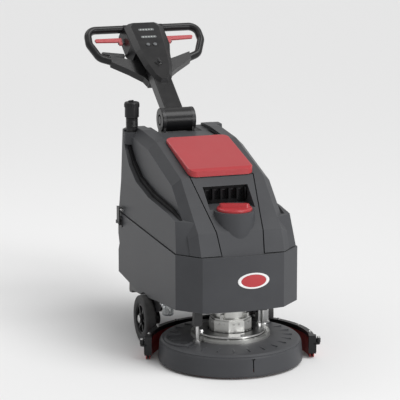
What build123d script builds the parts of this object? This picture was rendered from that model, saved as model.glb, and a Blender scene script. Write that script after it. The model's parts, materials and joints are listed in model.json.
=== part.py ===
from build123d import *
from math import cos, sin, radians
import os

os.makedirs("parts", exist_ok=True)

# Floor scrubber, millimetres. +Z up, front is -Y, the operator walks at +Y.
# The origin is on the floor, on the axis of the round scrub deck.

# ---- driving dimensions ----
tank_half_width = 209.7
tank_front_y = -135.0
tank_front_bulge = 15.0
tank_rear_y = 650.0
facet_half_width = 139.0
corner_depth = 69.0
tank_low_z = 152.0
seam_z = 386.0
seam_gap = 3.0
wall = 6.0

brow_y = 90.0                 # top of the sloping front, where the lid starts
brow_z = 603.0
deck_y = 373.0                # where the lid ends and the rear deck starts
deck_z = 675.0
upper_half_width = 170.0
shoulder = 28.0
belt_half_width = 206.0
belt_top_half_width = 197.0
belt_z = 492.0

pad_radius = 213.0
pad_thickness = 26.0
deck_rim_radius = 232.0
skirt_radius = 240.6
skirt_gap = 8.0
rim_z = 74.0
cover_z = 88.0
ring_radius = 131.0
ring_width = 15.0
ring_height = 12.0

wheel_radius = 81.0
wheel_width = 38.0
wheel_y = 290.0
wheel_outer_x = 229.4
axle_radius = 9.0

caster_x = 108.0
caster_y = 555.0
caster_radius = 28.0
caster_trail = 18.0
fork_z = 66.0

squeegee_radius = 273.0
squeegee_span = 176.0
squeegee_swing = -15.5        # where the trailing squeegee stands at rest, degrees from straight back

pivot_y = 603.0
pivot_z = 705.0
knuckle_radius = 42.0
handle_angle = 31.5
loop_angle = 43.0
crossbar_y = 1030.0
crossbar_z = 968.0
loop_half_width = 212.0
grip_radius = 13.5

run_gap = 0.05                # radial clearance of a pin or shaft that turns
part_gap = 0.5                # air between bodies that move past each other


def finish(builder, name):
    builder.part.label = name
    export_step(builder.part, f"parts/{name}.step")


def outline(points):
    Polygon(*points, align=None)


# ---- shared outlines ----
slope_foot_y = -131.0
slope_knee = (-96.0, 458.0)
tilt_y = -136.5               # axis that the recovery tank tips forward on
tilt_z = seam_z + 2.5
tower_sweep = 318.0           # radius, about that axis, that the tower stays inside
tower_half_width = 106.0
skin = 12.0

lower_plan = [
    (facet_half_width, tank_front_y),
    (tank_half_width, tank_front_y + corner_depth),
    (tank_half_width, tank_rear_y - 30),
    (tank_half_width - 25, tank_rear_y),
]
lower_side = [
    (tank_front_y - 30, seam_z), (tank_front_y - 30, 203), (-66, 203), (133, 181), (340, tank_low_z),
    (629, 168), (627, 236), (606, 272), (tank_rear_y, seam_z),
]


def mirrored(points):
    return points + [(-x, y) for x, y in reversed(points)]


# ---- front panel: the part of the solution tank that rises to the lid, between two gaps ----
panel_low = 70.0
panel_mid = 78.0
panel_top = 108.0


def panel_outline(gap):
    return mirrored([(panel_low + gap, seam_z - 20), (panel_low + gap, seam_z), (panel_mid + gap, 463),
                     (panel_top + gap, brow_z + 3)])


with BuildPart() as front_panel:
    with BuildSketch(Plane.YZ):
        outline([(slope_foot_y, seam_z - 6), (slope_foot_y, seam_z), slope_knee, (brow_y, brow_z),
                 (brow_y + 9, brow_z), (slope_knee[0] + 22, slope_knee[1] - 6),
                 (slope_foot_y + 22, seam_z - 6)])
    extrude(amount=panel_top + 4, both=True)
    with BuildSketch(Plane.XZ):
        outline(panel_outline(0))
    extrude(amount=300, both=True, mode=Mode.INTERSECT)

# ---- fill boss and grille recess in the front panel ----
fill_y = -40.0
fill_radius = 67.0
shelf_z = 517.0
recess_half_width = 78.0
recess_back_y = 72.0
recess_top_z = 578.0
neck_radius = 40.0
cap_radius = 57.5

battery_x = 260.0
battery_y = 168.0
battery_z = 196.0
battery_gap = 6.0
battery_front_y = 196.0
well_floor_z = 188.0
column_half_x = 42.0
column_depth = 50.0
column_y = 603.0

battery_wall_y = 2 * battery_y + 3 * battery_gap
bay_half_width = 152.0
bay_rear_y = 155.0
bay_roof_z = 226.0
tray_roof_z = 182.0

with BuildPart() as water_space:
    with BuildSketch(Plane.XY.offset(tank_low_z)):
        with BuildLine():
            Polyline(*mirrored(lower_plan), close=True)
        make_face()
        offset(amount=-wall, kind=Kind.INTERSECTION)
    extrude(amount=seam_z - wall - tank_low_z)
    with BuildSketch(Plane.YZ):
        outline(lower_side)
        offset(amount=-wall, kind=Kind.INTERSECTION)
    extrude(amount=tank_half_width, both=True, mode=Mode.INTERSECT)
    # room kept for the walls of the battery well, column shaft, motor bay, tray and wheel arches
    with BuildSketch(Plane.XY.offset(tank_low_z)):
        with Locations((0, battery_front_y - battery_gap + battery_wall_y / 2)):
            Rectangle(battery_x + 2 * battery_gap + 2 * wall, battery_wall_y + 2 * wall)
        with Locations((0, column_y)):
            Rectangle(2 * column_half_x + 4 + 2 * wall, column_depth + 4 + 2 * wall)
    extrude(amount=300, mode=Mode.SUBTRACT)
    with BuildSketch(Plane.XY.offset(tank_low_z)):
        with Locations((0, (bay_rear_y - 95) / 2)):
            Rectangle(2 * (bay_half_width + wall), bay_rear_y + 95 + 2 * wall)
    extrude(amount=bay_roof_z + wall - tank_low_z, mode=Mode.SUBTRACT)
    with BuildSketch(Plane.XY.offset(tank_low_z)):
        with Locations((0, 392)):
            Rectangle(310 + 2 * wall, 474 + 2 * wall)
    extrude(amount=tray_roof_z + wall - tank_low_z, mode=Mode.SUBTRACT)
    with BuildSketch(Plane.YZ):
        with Locations((wheel_y, wheel_radius)):
            Circle(wheel_radius + 9 + wall)
    extrude(amount=tank_half_width, both=True, mode=Mode.SUBTRACT)

with BuildPart() as solution_tank:
    with BuildSketch(Plane.XY.offset(tank_low_z)):
        with BuildLine():
            ThreePointArc((-facet_half_width, tank_front_y), (0, tank_front_y - tank_front_bulge),
                          (facet_half_width, tank_front_y))
            Polyline(*mirrored(lower_plan))
        make_face()
    extrude(amount=seam_z - tank_low_z)
    with BuildSketch(Plane.YZ):
        outline(lower_side)
    extrude(amount=tank_half_width + 5, both=True, mode=Mode.INTERSECT)
    # tower core behind the panel, inside the arc that the tilting tank sweeps
    with BuildSketch(Plane.YZ):
        outline([(slope_foot_y + 16, seam_z - 8), (slope_foot_y + 16, seam_z),
                 (slope_knee[0] + 18, slope_knee[1]), (brow_y + 8, brow_z - 6), (260, brow_z - 6),
                 (260, seam_z - 8)])
        with Locations((tilt_y, tilt_z)):
            Circle(tower_sweep - 1, mode=Mode.INTERSECT)
    extrude(amount=tower_half_width, both=True)
    add(front_panel.part)
    # round boss that carries the filler, flush with the shelf
    with BuildSketch(Plane.XY.offset(seam_z + 30)):
        with Locations((0, fill_y)):
            Circle(fill_radius)
    extrude(amount=shelf_z - seam_z - 30)
    # recess above the shelf
    with BuildSketch(Plane.XY.offset(shelf_z)):
        with Locations((0, recess_back_y - 100)):
            Rectangle(2 * recess_half_width, 200)
    extrude(amount=recess_top_z - shelf_z, mode=Mode.SUBTRACT)
    # water space below, filler shaft, and neck
    add(water_space.part, mode=Mode.SUBTRACT)
    with BuildSketch(Plane.XY.offset(seam_z - wall - 1)):
        with Locations((0, fill_y)):
            Circle(fill_radius - wall)
    extrude(amount=shelf_z - seam_z - 8, mode=Mode.SUBTRACT)
    with BuildSketch(Plane.XY.offset(shelf_z - 20)):
        with Locations((0, fill_y)):
            Circle(neck_radius)
    extrude(amount=30, mode=Mode.SUBTRACT)
    # vacuum chamber in the rear of the tower, open to the grille
    with BuildSketch(Plane.XY.offset(seam_z + wall)):
        with Locations((0, 90)):
            Rectangle(2 * (tower_half_width - wall), 120)
    extrude(amount=shelf_z - seam_z - 2 * wall, mode=Mode.SUBTRACT)
    with BuildSketch(Plane.XY.offset(shelf_z - 2 * wall)):
        with Locations((0, recess_back_y + wall)):
            Rectangle(132, 2 * wall)
    extrude(amount=56, mode=Mode.SUBTRACT)
    # battery well, open at the top
    with BuildSketch(Plane.XY.offset(well_floor_z)):
        with Locations((0, battery_front_y - battery_gap + battery_wall_y / 2)):
            Rectangle(battery_x + 2 * battery_gap, battery_wall_y)
    extrude(amount=seam_z - well_floor_z, mode=Mode.SUBTRACT)
    # shaft for the handle column
    with BuildSketch(Plane.XY.offset(tank_low_z - 5)):
        with Locations((0, column_y)):
            Rectangle(2 * column_half_x + 4, column_depth + 4)
    extrude(amount=seam_z - tank_low_z + 10, mode=Mode.SUBTRACT)
    # underside: motor bay, tray recess and wheel arches
    with BuildSketch(Plane.XY.offset(tank_low_z - 5)):
        with Locations((0, (bay_rear_y - 95) / 2)):
            Rectangle(2 * bay_half_width, bay_rear_y + 95)
    extrude(amount=bay_roof_z - tank_low_z + 5, mode=Mode.SUBTRACT)
    with BuildSketch(Plane.XY.offset(tank_low_z - 5)):
        with Locations((0, 392)):
            Rectangle(310, 474)
    extrude(amount=tray_roof_z - tank_low_z + 5, mode=Mode.SUBTRACT)
    for side in (-1, 1):
        with BuildSketch(Plane.YZ.offset(side * (wheel_outer_x - wheel_width / 2))):
            with Locations((wheel_y, wheel_radius)):
                Circle(wheel_radius + 9)
        extrude(amount=wheel_width / 2 + 8, both=True, mode=Mode.SUBTRACT)
    fillet(solution_tank.edges().filter_by(Axis.Z).group_by(SortBy.LENGTH)[-1], 8)
finish(solution_tank, "solution_tank")

# ---- recovery tank: sits on the solution tank, wraps round the front panel ----
tank_floor_z = seam_z + seam_gap
core_side = [
    (slope_foot_y, tank_floor_z), slope_knee, (brow_y, brow_z), (deck_y, deck_z), (545, 684), (640, 681),
    (tank_rear_y - 4, 664), (654, 414), (652, tank_floor_z),
]
swoosh = [(-22, belt_z - 4), (64, 496), (285, 503), (440, 526), (530, 566), (588, 618), (604, 650),
          (610, 678)]
belt_side = [(-160, tank_floor_z - 2), (-160, belt_z - 8)] + swoosh + [(660, 678), (660, tank_floor_z - 2)]
notch_half_width = tower_half_width + 4
column_notch = 78.0
lid_half_width = 112.0
lid_front_y = 87.0
lid_rear_y = 376.0
mouth_half_width = 92.0
mouth_front_y = 116.0
mouth_rear_y = 350.0
hose_x = -163.0
hose_y = 598.0
hose_radius = 20.0
right_corner_z = 642.0


def belt_plan(front_y, inner_x, outer_x, corner_y):
    half = [(inner_x, front_y), (outer_x, corner_y), (outer_x, tank_rear_y - 26),
            (outer_x - 22, tank_rear_y + 3)]
    return [(-x, y) for x, y in half] + [(x, y) for x, y in reversed(half)]


with BuildPart() as belt:
    with BuildSketch(Plane.XY.offset(tank_floor_z)):
        outline(belt_plan(slope_foot_y + 2, facet_half_width, belt_half_width, -60))
    with BuildSketch(Plane.XY.offset(belt_z + 4)):
        outline(belt_plan(-51, facet_half_width + 3, belt_top_half_width, -20))
    loft()
    with BuildSketch(Plane.XY.offset(belt_z + 4)):
        outline(belt_plan(-51, facet_half_width + 3, belt_top_half_width, -20))
    with BuildSketch(Plane.XY.offset(deck_z + 4)):
        outline(belt_plan(-51, facet_half_width + 3, belt_top_half_width - 7, -20))
    loft()
    with BuildSketch(Plane.YZ):
        outline(belt_side)
    extrude(amount=belt_half_width + 5, both=True, mode=Mode.INTERSECT)

with BuildPart() as tower_notch:
    with BuildSketch(Plane.YZ):
        outline([(slope_foot_y + skin, seam_z), (slope_knee[0] + skin, slope_knee[1]),
                 (brow_y + skin + 2, brow_z + 2), (260, brow_z + 2), (260, seam_z)])
        with Locations((tilt_y, tilt_z)):
            Circle(tower_sweep + 2, mode=Mode.INTERSECT)
    extrude(amount=notch_half_width, both=True)
    with BuildSketch(Plane.XZ.offset(-brow_y - 12)):
        outline(panel_outline(4))
    extrude(amount=300, mode=Mode.ADD)

with BuildPart() as recovery_space:
    with BuildSketch(Plane.YZ):
        outline([(-60, belt_z - 28), (110, brow_z - 8), (deck_y + 4, deck_z - 18), (634, deck_z - 18),
                 (642, 420), (642, tank_floor_z + wall), (-60, tank_floor_z + wall)])
    extrude(amount=upper_half_width - wall - 14, both=True)
    with BuildSketch(Plane.XY.offset(tank_floor_z + wall)):
        with Locations((0, 300)):
            Rectangle(2 * (belt_top_half_width - wall - 3), 650)
    extrude(amount=belt_z - 16 - tank_floor_z - wall)
    with BuildSketch(Plane.YZ):
        with Locations((tilt_y, tilt_z)):
            Circle(tower_sweep + 2 + wall)
    extrude(amount=notch_half_width + wall, both=True, mode=Mode.SUBTRACT)
    with BuildSketch(Plane.XY.offset(tank_floor_z)):
        with Locations((0, 600)):
            Rectangle(2 * (column_notch + wall), 130)
    extrude(amount=320, mode=Mode.SUBTRACT)

with BuildPart() as recovery_tank:
    with BuildSketch(Plane.YZ):
        outline(core_side)
    extrude(amount=upper_half_width, both=True)
    top_rim = [e for e in recovery_tank.edges() if abs(abs(e.center().X) - upper_half_width) < 1
               and e.center().Y < 640 and e.center().Z > tank_floor_z + 5]
    chamfer(top_rim, shoulder)
    add(belt.part)
    # rear deck sits lower than the two side rails
    with BuildSketch(Plane.YZ):
        outline([(lid_rear_y + 3, 669), (700, 672), (700, 720), (lid_rear_y + 3, 720)])
    extrude(amount=106, both=True, mode=Mode.SUBTRACT)
    add(tower_notch.part, mode=Mode.SUBTRACT)
    add(recovery_space.part, mode=Mode.SUBTRACT)
    with BuildSketch(Plane.XY.offset(brow_z - 30)):
        with Locations((0, (mouth_front_y + mouth_rear_y) / 2)):
            RectangleRounded(2 * mouth_half_width, mouth_rear_y - mouth_front_y, 20)
    extrude(amount=130, mode=Mode.SUBTRACT)
    # open slot at the rear for the handle column and knuckle
    with BuildSketch(Plane.XY.offset(tank_floor_z - 5)):
        with Locations((0, 546 + 80)):
            Rectangle(2 * column_notch, 160)
    extrude(amount=320, mode=Mode.SUBTRACT)
    # the right rear corner is lower than the left, which carries the hose
    with BuildSketch(Plane.XY.offset(right_corner_z)):
        with Locations((upper_half_width + 31, tank_rear_y - 25)):
            Rectangle(60, 110)
    extrude(amount=100, mode=Mode.SUBTRACT)
    # seat for the drain hose
    with BuildSketch(Plane.XY.offset(deck_z - 45)):
        with Locations((hose_x, hose_y)):
            Circle(hose_radius + 8)
    extrude(amount=42)
    with BuildSketch(Plane.XY.offset(deck_z - 38)):
        with Locations((hose_x, hose_y)):
            Circle(hose_radius + run_gap)
    extrude(amount=60, mode=Mode.SUBTRACT)
    with BuildSketch(Plane.XY.offset(tank_floor_z + wall)):
        with Locations((hose_x + 10, hose_y)):
            Circle(15)
    extrude(amount=deck_z - 38 - tank_floor_z - wall, mode=Mode.SUBTRACT)
finish(recovery_tank, "recovery_tank")

# ---- dark inlay along the swoosh on each side ----
with BuildPart() as swoosh_inlays:
    for side in (-1, 1):
        with BuildSketch(Plane.YZ.offset(side * (upper_half_width + 5.5))):
            outline(swoosh[:-2] + [(588, 634), (526, 584), (436, 543), (285, 519), (64, 508)])
        extrude(amount=5, both=True)
    add(recovery_tank.part, mode=Mode.SUBTRACT)
finish(swoosh_inlays, "swoosh_inlays")

# ---- red lid over the mouth of the recovery tank ----
lid_lip = 24.0
gasket_thickness = 3.0
lid_slope = (deck_z - brow_z) / (deck_y - brow_y)


def top_z(y):
    return brow_z + (y - brow_y) * lid_slope


with BuildPart() as lid_gasket:
    with BuildSketch(Plane.YZ):
        outline([(lid_front_y + 5, top_z(lid_front_y + 5)), (lid_rear_y - 4, top_z(lid_rear_y - 4)),
                 (lid_rear_y - 4, top_z(lid_rear_y - 4) + gasket_thickness),
                 (lid_front_y + 5, top_z(lid_front_y + 5) + gasket_thickness)])
    extrude(amount=lid_half_width - 5, both=True)
    with BuildSketch(Plane.XY.offset(brow_z - 20)):
        with Locations((0, (mouth_front_y + mouth_rear_y) / 2)):
            RectangleRounded(2 * mouth_half_width, mouth_rear_y - mouth_front_y, 20)
    extrude(amount=130, mode=Mode.SUBTRACT)
finish(lid_gasket, "lid_gasket")

lid_base = gasket_thickness + part_gap
lid_hinge_y = lid_rear_y + 7
lid_hinge_z = top_z(lid_rear_y) + 5
lid_hinge_x = 70.0
lid_pin_radius = 2.0
ear_radius = 4.5
ear_width = 8.0
lid_knuckle_width = 20.0
with BuildPart() as recovery_lid:
    with BuildSketch(Plane.YZ):
        outline([(lid_front_y, top_z(lid_front_y) + lid_base), (lid_rear_y, top_z(lid_rear_y) + lid_base),
                 (lid_rear_y, 688), (lid_front_y + 14, brow_z + lid_lip + 4),
                 (lid_front_y, brow_z + lid_lip - 3)])
    extrude(amount=lid_half_width, both=True)
    with BuildSketch(Plane.XY.offset(brow_z - 10)):
        with Locations((0, (lid_front_y + lid_rear_y) / 2)):
            RectangleRounded(2 * lid_half_width, lid_rear_y - lid_front_y, 26)
    extrude(amount=130, mode=Mode.INTERSECT)
    lid_top = recovery_lid.faces().filter_by(lambda face: face.normal_at().Z > 0.9).sort_by(Axis.Z)[-1]
    fillet(lid_top.edges(), 4)
    # hollow underside
    with BuildSketch(Plane.YZ):
        outline([(lid_front_y + 16, top_z(lid_front_y + 16)), (lid_rear_y - 12, top_z(lid_rear_y - 12)),
                 (lid_rear_y - 12, 681), (lid_front_y + 18, brow_z + lid_lip - 3)])
    extrude(amount=lid_half_width - 12, both=True, mode=Mode.SUBTRACT)
    # hinge knuckles behind the lid
    for side in (-1, 1):
        with BuildSketch(Plane.YZ.offset(side * lid_hinge_x)):
            with Locations((lid_hinge_y, lid_hinge_z)):
                Circle(ear_radius)
            with Locations((lid_hinge_y - 5, lid_hinge_z + 1.5)):
                Rectangle(10, 6)
        extrude(amount=lid_knuckle_width / 2, both=True)
        with BuildSketch(Plane.YZ.offset(side * lid_hinge_x)):
            with Locations((lid_hinge_y, lid_hinge_z)):
                Circle(lid_pin_radius + run_gap)
        extrude(amount=lid_knuckle_width, both=True, mode=Mode.SUBTRACT)
finish(recovery_lid, "recovery_lid")

# hinge blocks on the rear deck: two ears and a pin for each knuckle
ear_spread = lid_knuckle_width + ear_width + 2 * part_gap
with BuildPart() as lid_hinges:
    for side in (-1, 1):
        for end in (-1, 1):
            with BuildSketch(Plane.YZ.offset(side * lid_hinge_x + end * ear_spread / 2)):
                with Locations((lid_hinge_y, lid_hinge_z)):
                    Circle(ear_radius)
                with Locations((lid_hinge_y, lid_hinge_z - 8)):
                    Rectangle(2 * ear_radius, 16)
            extrude(amount=ear_width / 2, both=True)
        with BuildSketch(Plane.YZ.offset(side * lid_hinge_x)):
            with Locations((lid_hinge_y, lid_hinge_z)):
                Circle(lid_pin_radius)
        extrude(amount=ear_spread / 2, both=True)
    add(recovery_tank.part, mode=Mode.SUBTRACT)
finish(lid_hinges, "lid_hinges")

# ---- clear float cage inside the recovery tank, under the mouth ----
with BuildPart() as float_cage:
    with BuildSketch(Plane.XY.offset(560)):
        with Locations((0, 300)):
            Circle(32)
            Circle(29, mode=Mode.SUBTRACT)
    extrude(amount=88)
    with BuildSketch(Plane.XY.offset(556)):
        with Locations((0, 300)):
            Circle(32)
    extrude(amount=4)
    with BuildSketch(Plane.XY.offset(648)):
        with Locations((0, 300 + 12)):
            Rectangle(90, 90)
    extrude(amount=5)
    with BuildSketch(Plane.XY.offset(648)):
        with Locations((0, 364)):
            Rectangle(40, 22)
    extrude(amount=5)
    add(recovery_tank.part, mode=Mode.SUBTRACT)
    with Locations((0, 300, 584)):
        Sphere(23)
finish(float_cage, "float_filter")

# ---- red twist cap on the filler, with its seal ----
cap_z = shelf_z + part_gap
with BuildPart() as solution_cap:
    with BuildSketch(Plane.XY.offset(cap_z)):
        with Locations((0, fill_y)):
            Circle(cap_radius)
    extrude(amount=9)
    fillet(solution_cap.edges().sort_by(Axis.Z)[-1], 4)
    with BuildSketch(Plane.XY.offset(cap_z + 9)):
        with Locations((0, fill_y)):
            SlotOverall(2 * cap_radius - 14, 26, rotation=-18)
    extrude(amount=11, taper=12)
    with BuildSketch(Plane.XY.offset(shelf_z - 14)):
        with Locations((0, fill_y)):
            Circle(neck_radius - part_gap)
            Circle(neck_radius - 5, mode=Mode.SUBTRACT)
    extrude(amount=cap_z - shelf_z + 14)
finish(solution_cap, "solution_cap")

# ---- vent grille at the back of the recess, and the vacuum motor behind it ----
grille_pitch = 28.0
grille_thickness = 3.0
rib_depth = 14.0
with BuildPart() as vent_grille:
    with BuildSketch(Plane.XZ.offset(-recess_back_y)):
        with Locations((0, (shelf_z + recess_top_z) / 2)):
            Rectangle(2 * recess_half_width - 4, recess_top_z - shelf_z - 4)
            with GridLocations(grille_pitch, 1, 5, 1):
                Rectangle(12, 34, mode=Mode.SUBTRACT)
    extrude(amount=grille_thickness)
    with BuildSketch(Plane.XZ.offset(-recess_back_y + grille_thickness)):
        with Locations((0, recess_top_z - 28)):
            with GridLocations(grille_pitch, 1, 6, 1):
                Rectangle(5, 36)
    extrude(amount=rib_depth)
finish(vent_grille, "vent_grille")

with BuildPart() as vacuum_motor:
    with BuildSketch(Plane.XY.offset(seam_z + wall)):
        with Locations((0, 92)):
            Circle(50)
    extrude(amount=52)
    with BuildSketch(Plane.XY.offset(seam_z + wall + 52)):
        with Locations((0, 92)):
            Circle(38)
    extrude(amount=58)
    fillet(vacuum_motor.edges().filter_by(GeomType.CIRCLE), 4)
finish(vacuum_motor, "vacuum_motor")

# ---- batteries in the well ----
with BuildPart() as batteries:
    for index in (0, 1):
        battery_center_y = battery_front_y + battery_y / 2 + index * (battery_y + battery_gap)
        with BuildSketch(Plane.XY.offset(well_floor_z)):
            with Locations((0, battery_center_y)):
                RectangleRounded(battery_x, battery_y, 4)
        extrude(amount=battery_z - 14)
        with BuildSketch(Plane.XY.offset(well_floor_z + battery_z - 14)):
            with Locations((0, battery_center_y)):
                RectangleRounded(battery_x - 8, battery_y - 8, 4)
                with GridLocations(battery_x - 60, 1, 2, 1):
                    Circle(9, mode=Mode.SUBTRACT)
        extrude(amount=6)
        with BuildSketch(Plane.XY.offset(well_floor_z + battery_z - 14)):
            with Locations((0, battery_center_y)):
                with GridLocations(battery_x - 60, 1, 2, 1):
                    Circle(7)
        extrude(amount=11)
finish(batteries, "batteries")

# ---- generic oval badge on the tank front ----
badge_z = 303.0
badge_x = 30.0
badge_r = (55.0, 27.0)
with BuildPart() as badge:
    with BuildSketch(Plane.XZ.offset(-tank_front_y + 3)):
        with Locations((badge_x, badge_z)):
            Ellipse(*badge_r)
    extrude(amount=20)
    add(solution_tank.part, mode=Mode.SUBTRACT)
    with BuildSketch(Plane.XY.offset(badge_z - 40)):
        with BuildLine():
            ThreePointArc((-facet_half_width, tank_front_y - 2), (0, tank_front_y - tank_front_bulge - 2),
                          (facet_half_width, tank_front_y - 2))
            Line((facet_half_width, tank_front_y - 2), (-facet_half_width, tank_front_y - 2))
        make_face()
    extrude(amount=80, mode=Mode.INTERSECT)
finish(badge, "front_badge")

# ---- clear water strainer under the left side of the tank ----
strainer_x = -180.0
strainer_y = 117.0
strainer_low_z = 136.0
strainer_radius = 19.0
with BuildPart() as water_strainer:
    with BuildSketch(Plane.XY.offset(strainer_low_z)):
        with Locations((strainer_x, strainer_y)):
            Circle(strainer_radius)
    extrude(amount=34)
    fillet(water_strainer.edges().sort_by(Axis.Z)[0], 5)
    with BuildSketch(Plane.XY.offset(strainer_low_z + 30)):
        with Locations((strainer_x, strainer_y)):
            RegularPolygon(strainer_radius + 5, 12)
    extrude(amount=12)
    with BuildSketch(Plane.XY.offset(strainer_low_z + 40)):
        with Locations((strainer_x, strainer_y)):
            Circle(10)
    extrude(amount=9)
    add(solution_tank.part, mode=Mode.SUBTRACT)
finish(water_strainer, "water_strainer")

# ---- chassis tray under the tank, with the two caster posts ----
tray_z = 158.0
caster_hole = 8 + run_gap
with BuildPart() as chassis_tray:
    with BuildSketch(Plane.XY.offset(tray_z)):
        with Locations((0, (bay_rear_y + 10 + 622) / 2)):
            Rectangle(296, 622 - bay_rear_y - 10)
    extrude(amount=5)
    for side in (-1, 1):
        with BuildSketch(Plane.XY.offset(tray_z + 5)):
            with Locations((side * 145, (bay_rear_y + 10 + 622) / 2)):
                Rectangle(6, 622 - bay_rear_y - 10)
        extrude(amount=tray_roof_z - tray_z - 5)
    with BuildSketch(Plane.XY.offset(tray_z + 5)):
        with Locations((0, bay_rear_y + 13), (0, 400)):
            Rectangle(284, 6)
    extrude(amount=tray_roof_z - tray_z - 5)
    with BuildSketch(Plane.XY.offset(fork_z + 9)):
        with Locations((-caster_x, caster_y), (caster_x, caster_y)):
            RectangleRounded(46, 46, 4)
            Circle(caster_hole, mode=Mode.SUBTRACT)
    extrude(amount=tray_z - fork_z - 9)
finish(chassis_tray, "chassis_tray")

# ---- handle column: rises from the tray, carries the pivot cheeks ----
cheek_in = 48.0
cheek_out = 56.0
pivot_pin_radius = 8.0
with BuildPart() as handle_column:
    with BuildSketch(Plane.XY.offset(tray_z + 5)):
        with Locations((0, column_y)):
            RectangleRounded(2 * column_half_x - 1, column_depth - 1, 6)
            RectangleRounded(2 * column_half_x - 9, column_depth - 9, 4, mode=Mode.SUBTRACT)
    extrude(amount=642 - tray_z - 5)
    with BuildSketch(Plane.XY.offset(642)):
        with Locations((0, column_y)):
            RectangleRounded(2 * cheek_out, 70, 8)
    extrude(amount=19)
    for side in (-1, 1):
        with BuildSketch(Plane.YZ.offset(side * (cheek_in + cheek_out) / 2)):
            with Locations((pivot_y, pivot_z)):
                Circle(knuckle_radius)
            with Locations((pivot_y, (642 + pivot_z) / 2)):
                Rectangle(70, pivot_z - 642)
        extrude(amount=(cheek_out - cheek_in) / 2, both=True)
    with BuildSketch(Plane.YZ):
        with Locations((pivot_y, pivot_z)):
            Circle(pivot_pin_radius)
    extrude(amount=100, both=True, mode=Mode.SUBTRACT)
finish(handle_column, "handle_column")

with BuildPart() as pivot_pin:
    with BuildSketch(Plane.YZ):
        with Locations((pivot_y, pivot_z)):
            Circle(pivot_pin_radius)
    extrude(amount=cheek_out, both=True)
    with BuildSketch(Plane.YZ.offset(cheek_out)):
        with Locations((pivot_y, pivot_z)):
            Circle(14)
    extrude(amount=5)
    with BuildSketch(Plane.YZ.offset(-cheek_out - 5)):
        with Locations((pivot_y, pivot_z)):
            Circle(14)
    extrude(amount=5)
with BuildPart() as knuckle_caps:
    for side in (-1, 1):
        with BuildSketch(Plane.YZ.offset(side * cheek_out)):
            with Locations((pivot_y, pivot_z)):
                Circle(knuckle_radius)
                Circle(20, mode=Mode.SUBTRACT)
        extrude(amount=side * 5)
    rims = knuckle_caps.edges().filter_by(GeomType.CIRCLE).group_by(SortBy.RADIUS)[-1]
    fillet(rims.sort_by(Axis.X)[::3], 2)
    add(pivot_pin.part)
finish(knuckle_caps, "knuckle_pin")

# ---- handle: hub, post, dash and loop, in the plane that leans back from the pivot ----
lean = radians(handle_angle)
handle_plane = Plane(origin=(0, pivot_y, pivot_z), x_dir=(1, 0, 0), z_dir=(0, -sin(lean), cos(lean)))
loop_lean = radians(loop_angle)
loop_normal = (0, -sin(loop_lean), cos(loop_lean))
loop_plane = Plane(origin=(0, crossbar_y, crossbar_z), x_dir=(1, 0, 0), z_dir=loop_normal)
hub_half = cheek_in - part_gap
post_half = 34.0
post_end = 330.0
yoke_side = [(30, -262), (44, -236), (90, -200), (150, -160), (150, -127.5), (90, -150), (40, -166)]
yoke_half = 16.0

with BuildPart() as handle_post:
    with BuildSketch(handle_plane.offset(-29)):
        outline([(-post_half, 20), (post_half, 20), (post_half, post_end), (-post_half, post_end)])
    extrude(amount=48, taper=2)
    fillet(handle_post.edges().filter_by(lambda e: e.length > 200), 5)
    # yoke that takes the two arms of the loop
    with BuildSketch(loop_plane.offset(-yoke_half)):
        outline(mirrored(yoke_side))
    extrude(amount=2 * yoke_half)
    with BuildSketch(loop_plane.offset(-yoke_half)):
        outline(mirrored([(post_half - 2, -262), (post_half - 2, -166)]))
    extrude(amount=2 * yoke_half + 10)
    with BuildSketch(Plane.YZ):
        with Locations((pivot_y, pivot_z)):
            Circle(knuckle_radius - 0.3)
    extrude(amount=hub_half, both=True)
    with BuildSketch(Plane.YZ):
        with Locations((pivot_y, pivot_z)):
            Circle(pivot_pin_radius + run_gap)
    extrude(amount=80, both=True, mode=Mode.SUBTRACT)
finish(handle_post, "handle_post")

dash_bottom_w = -8.0
dash_top_w = 33.0


def shield(scale, tip, top):
    half = [(10 * scale, tip), (24 * scale, tip + 24), (37 * scale, 265), (46 * scale, 350),
            (52 * scale, top - 22), (40 * scale, top)]
    return [(-x, y) for x, y in half] + [(x, y) for x, y in reversed(half)]


with BuildPart() as dash_cover:
    with BuildSketch(handle_plane.offset(dash_bottom_w + 27.5)):
        outline(shield(1.4, 176, 508))
    with BuildSketch(handle_plane.offset(dash_top_w)):
        outline(shield(1.0, 184, 498))
    loft()
    fillet(dash_cover.faces().sort_by(Axis.Z)[-1].edges(), 3)

with BuildPart() as dash_base:
    with BuildSketch(handle_plane.offset(-34)):
        outline([(-72, 350), (72, 350), (84, 385), (84, 500), (-84, 500), (-84, 385)])
    with BuildSketch(handle_plane.offset(dash_bottom_w + 27)):
        outline([(-64, 345), (64, 345), (74, 385), (74, 504), (-74, 504), (-74, 385)])
    loft()
    add(handle_post.part, mode=Mode.SUBTRACT)

# ---- control panel pieces on the dash ----
button_t = 372.0
button_pitch = 26.0
button_depth = 6.0
for side, name in ((-1, "brush_button"), (1, "vacuum_button")):
    with BuildPart() as button:
        with BuildSketch(handle_plane.offset(dash_top_w - button_depth)):
            with Locations((side * button_pitch / 2, button_t)):
                Circle(7)
        extrude(amount=button_depth + 3)
        fillet(button.edges().filter_by(GeomType.CIRCLE).sort_by(Axis.Z)[-1], 1)
    finish(button, name)

with BuildPart() as light_strips:
    for t in (456, 415):
        with BuildSketch(handle_plane.offset(dash_top_w - 1)):
            with Locations((0, t)):
                RectangleRounded(58, 12, 4)
        extrude(amount=2)
finish(light_strips, "indicator_lenses")

key_t = 272.0
with BuildPart() as key_switch:
    with BuildSketch(handle_plane.offset(dash_top_w - 12)):
        with Locations((0, key_t)):
            Circle(10)
    extrude(amount=16)
    with BuildSketch(handle_plane.offset(dash_top_w + 4)):
        with Locations((0, key_t)):
            RectangleRounded(6, 20, 2)
    extrude(amount=9)
finish(key_switch, "key_switch")

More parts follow.
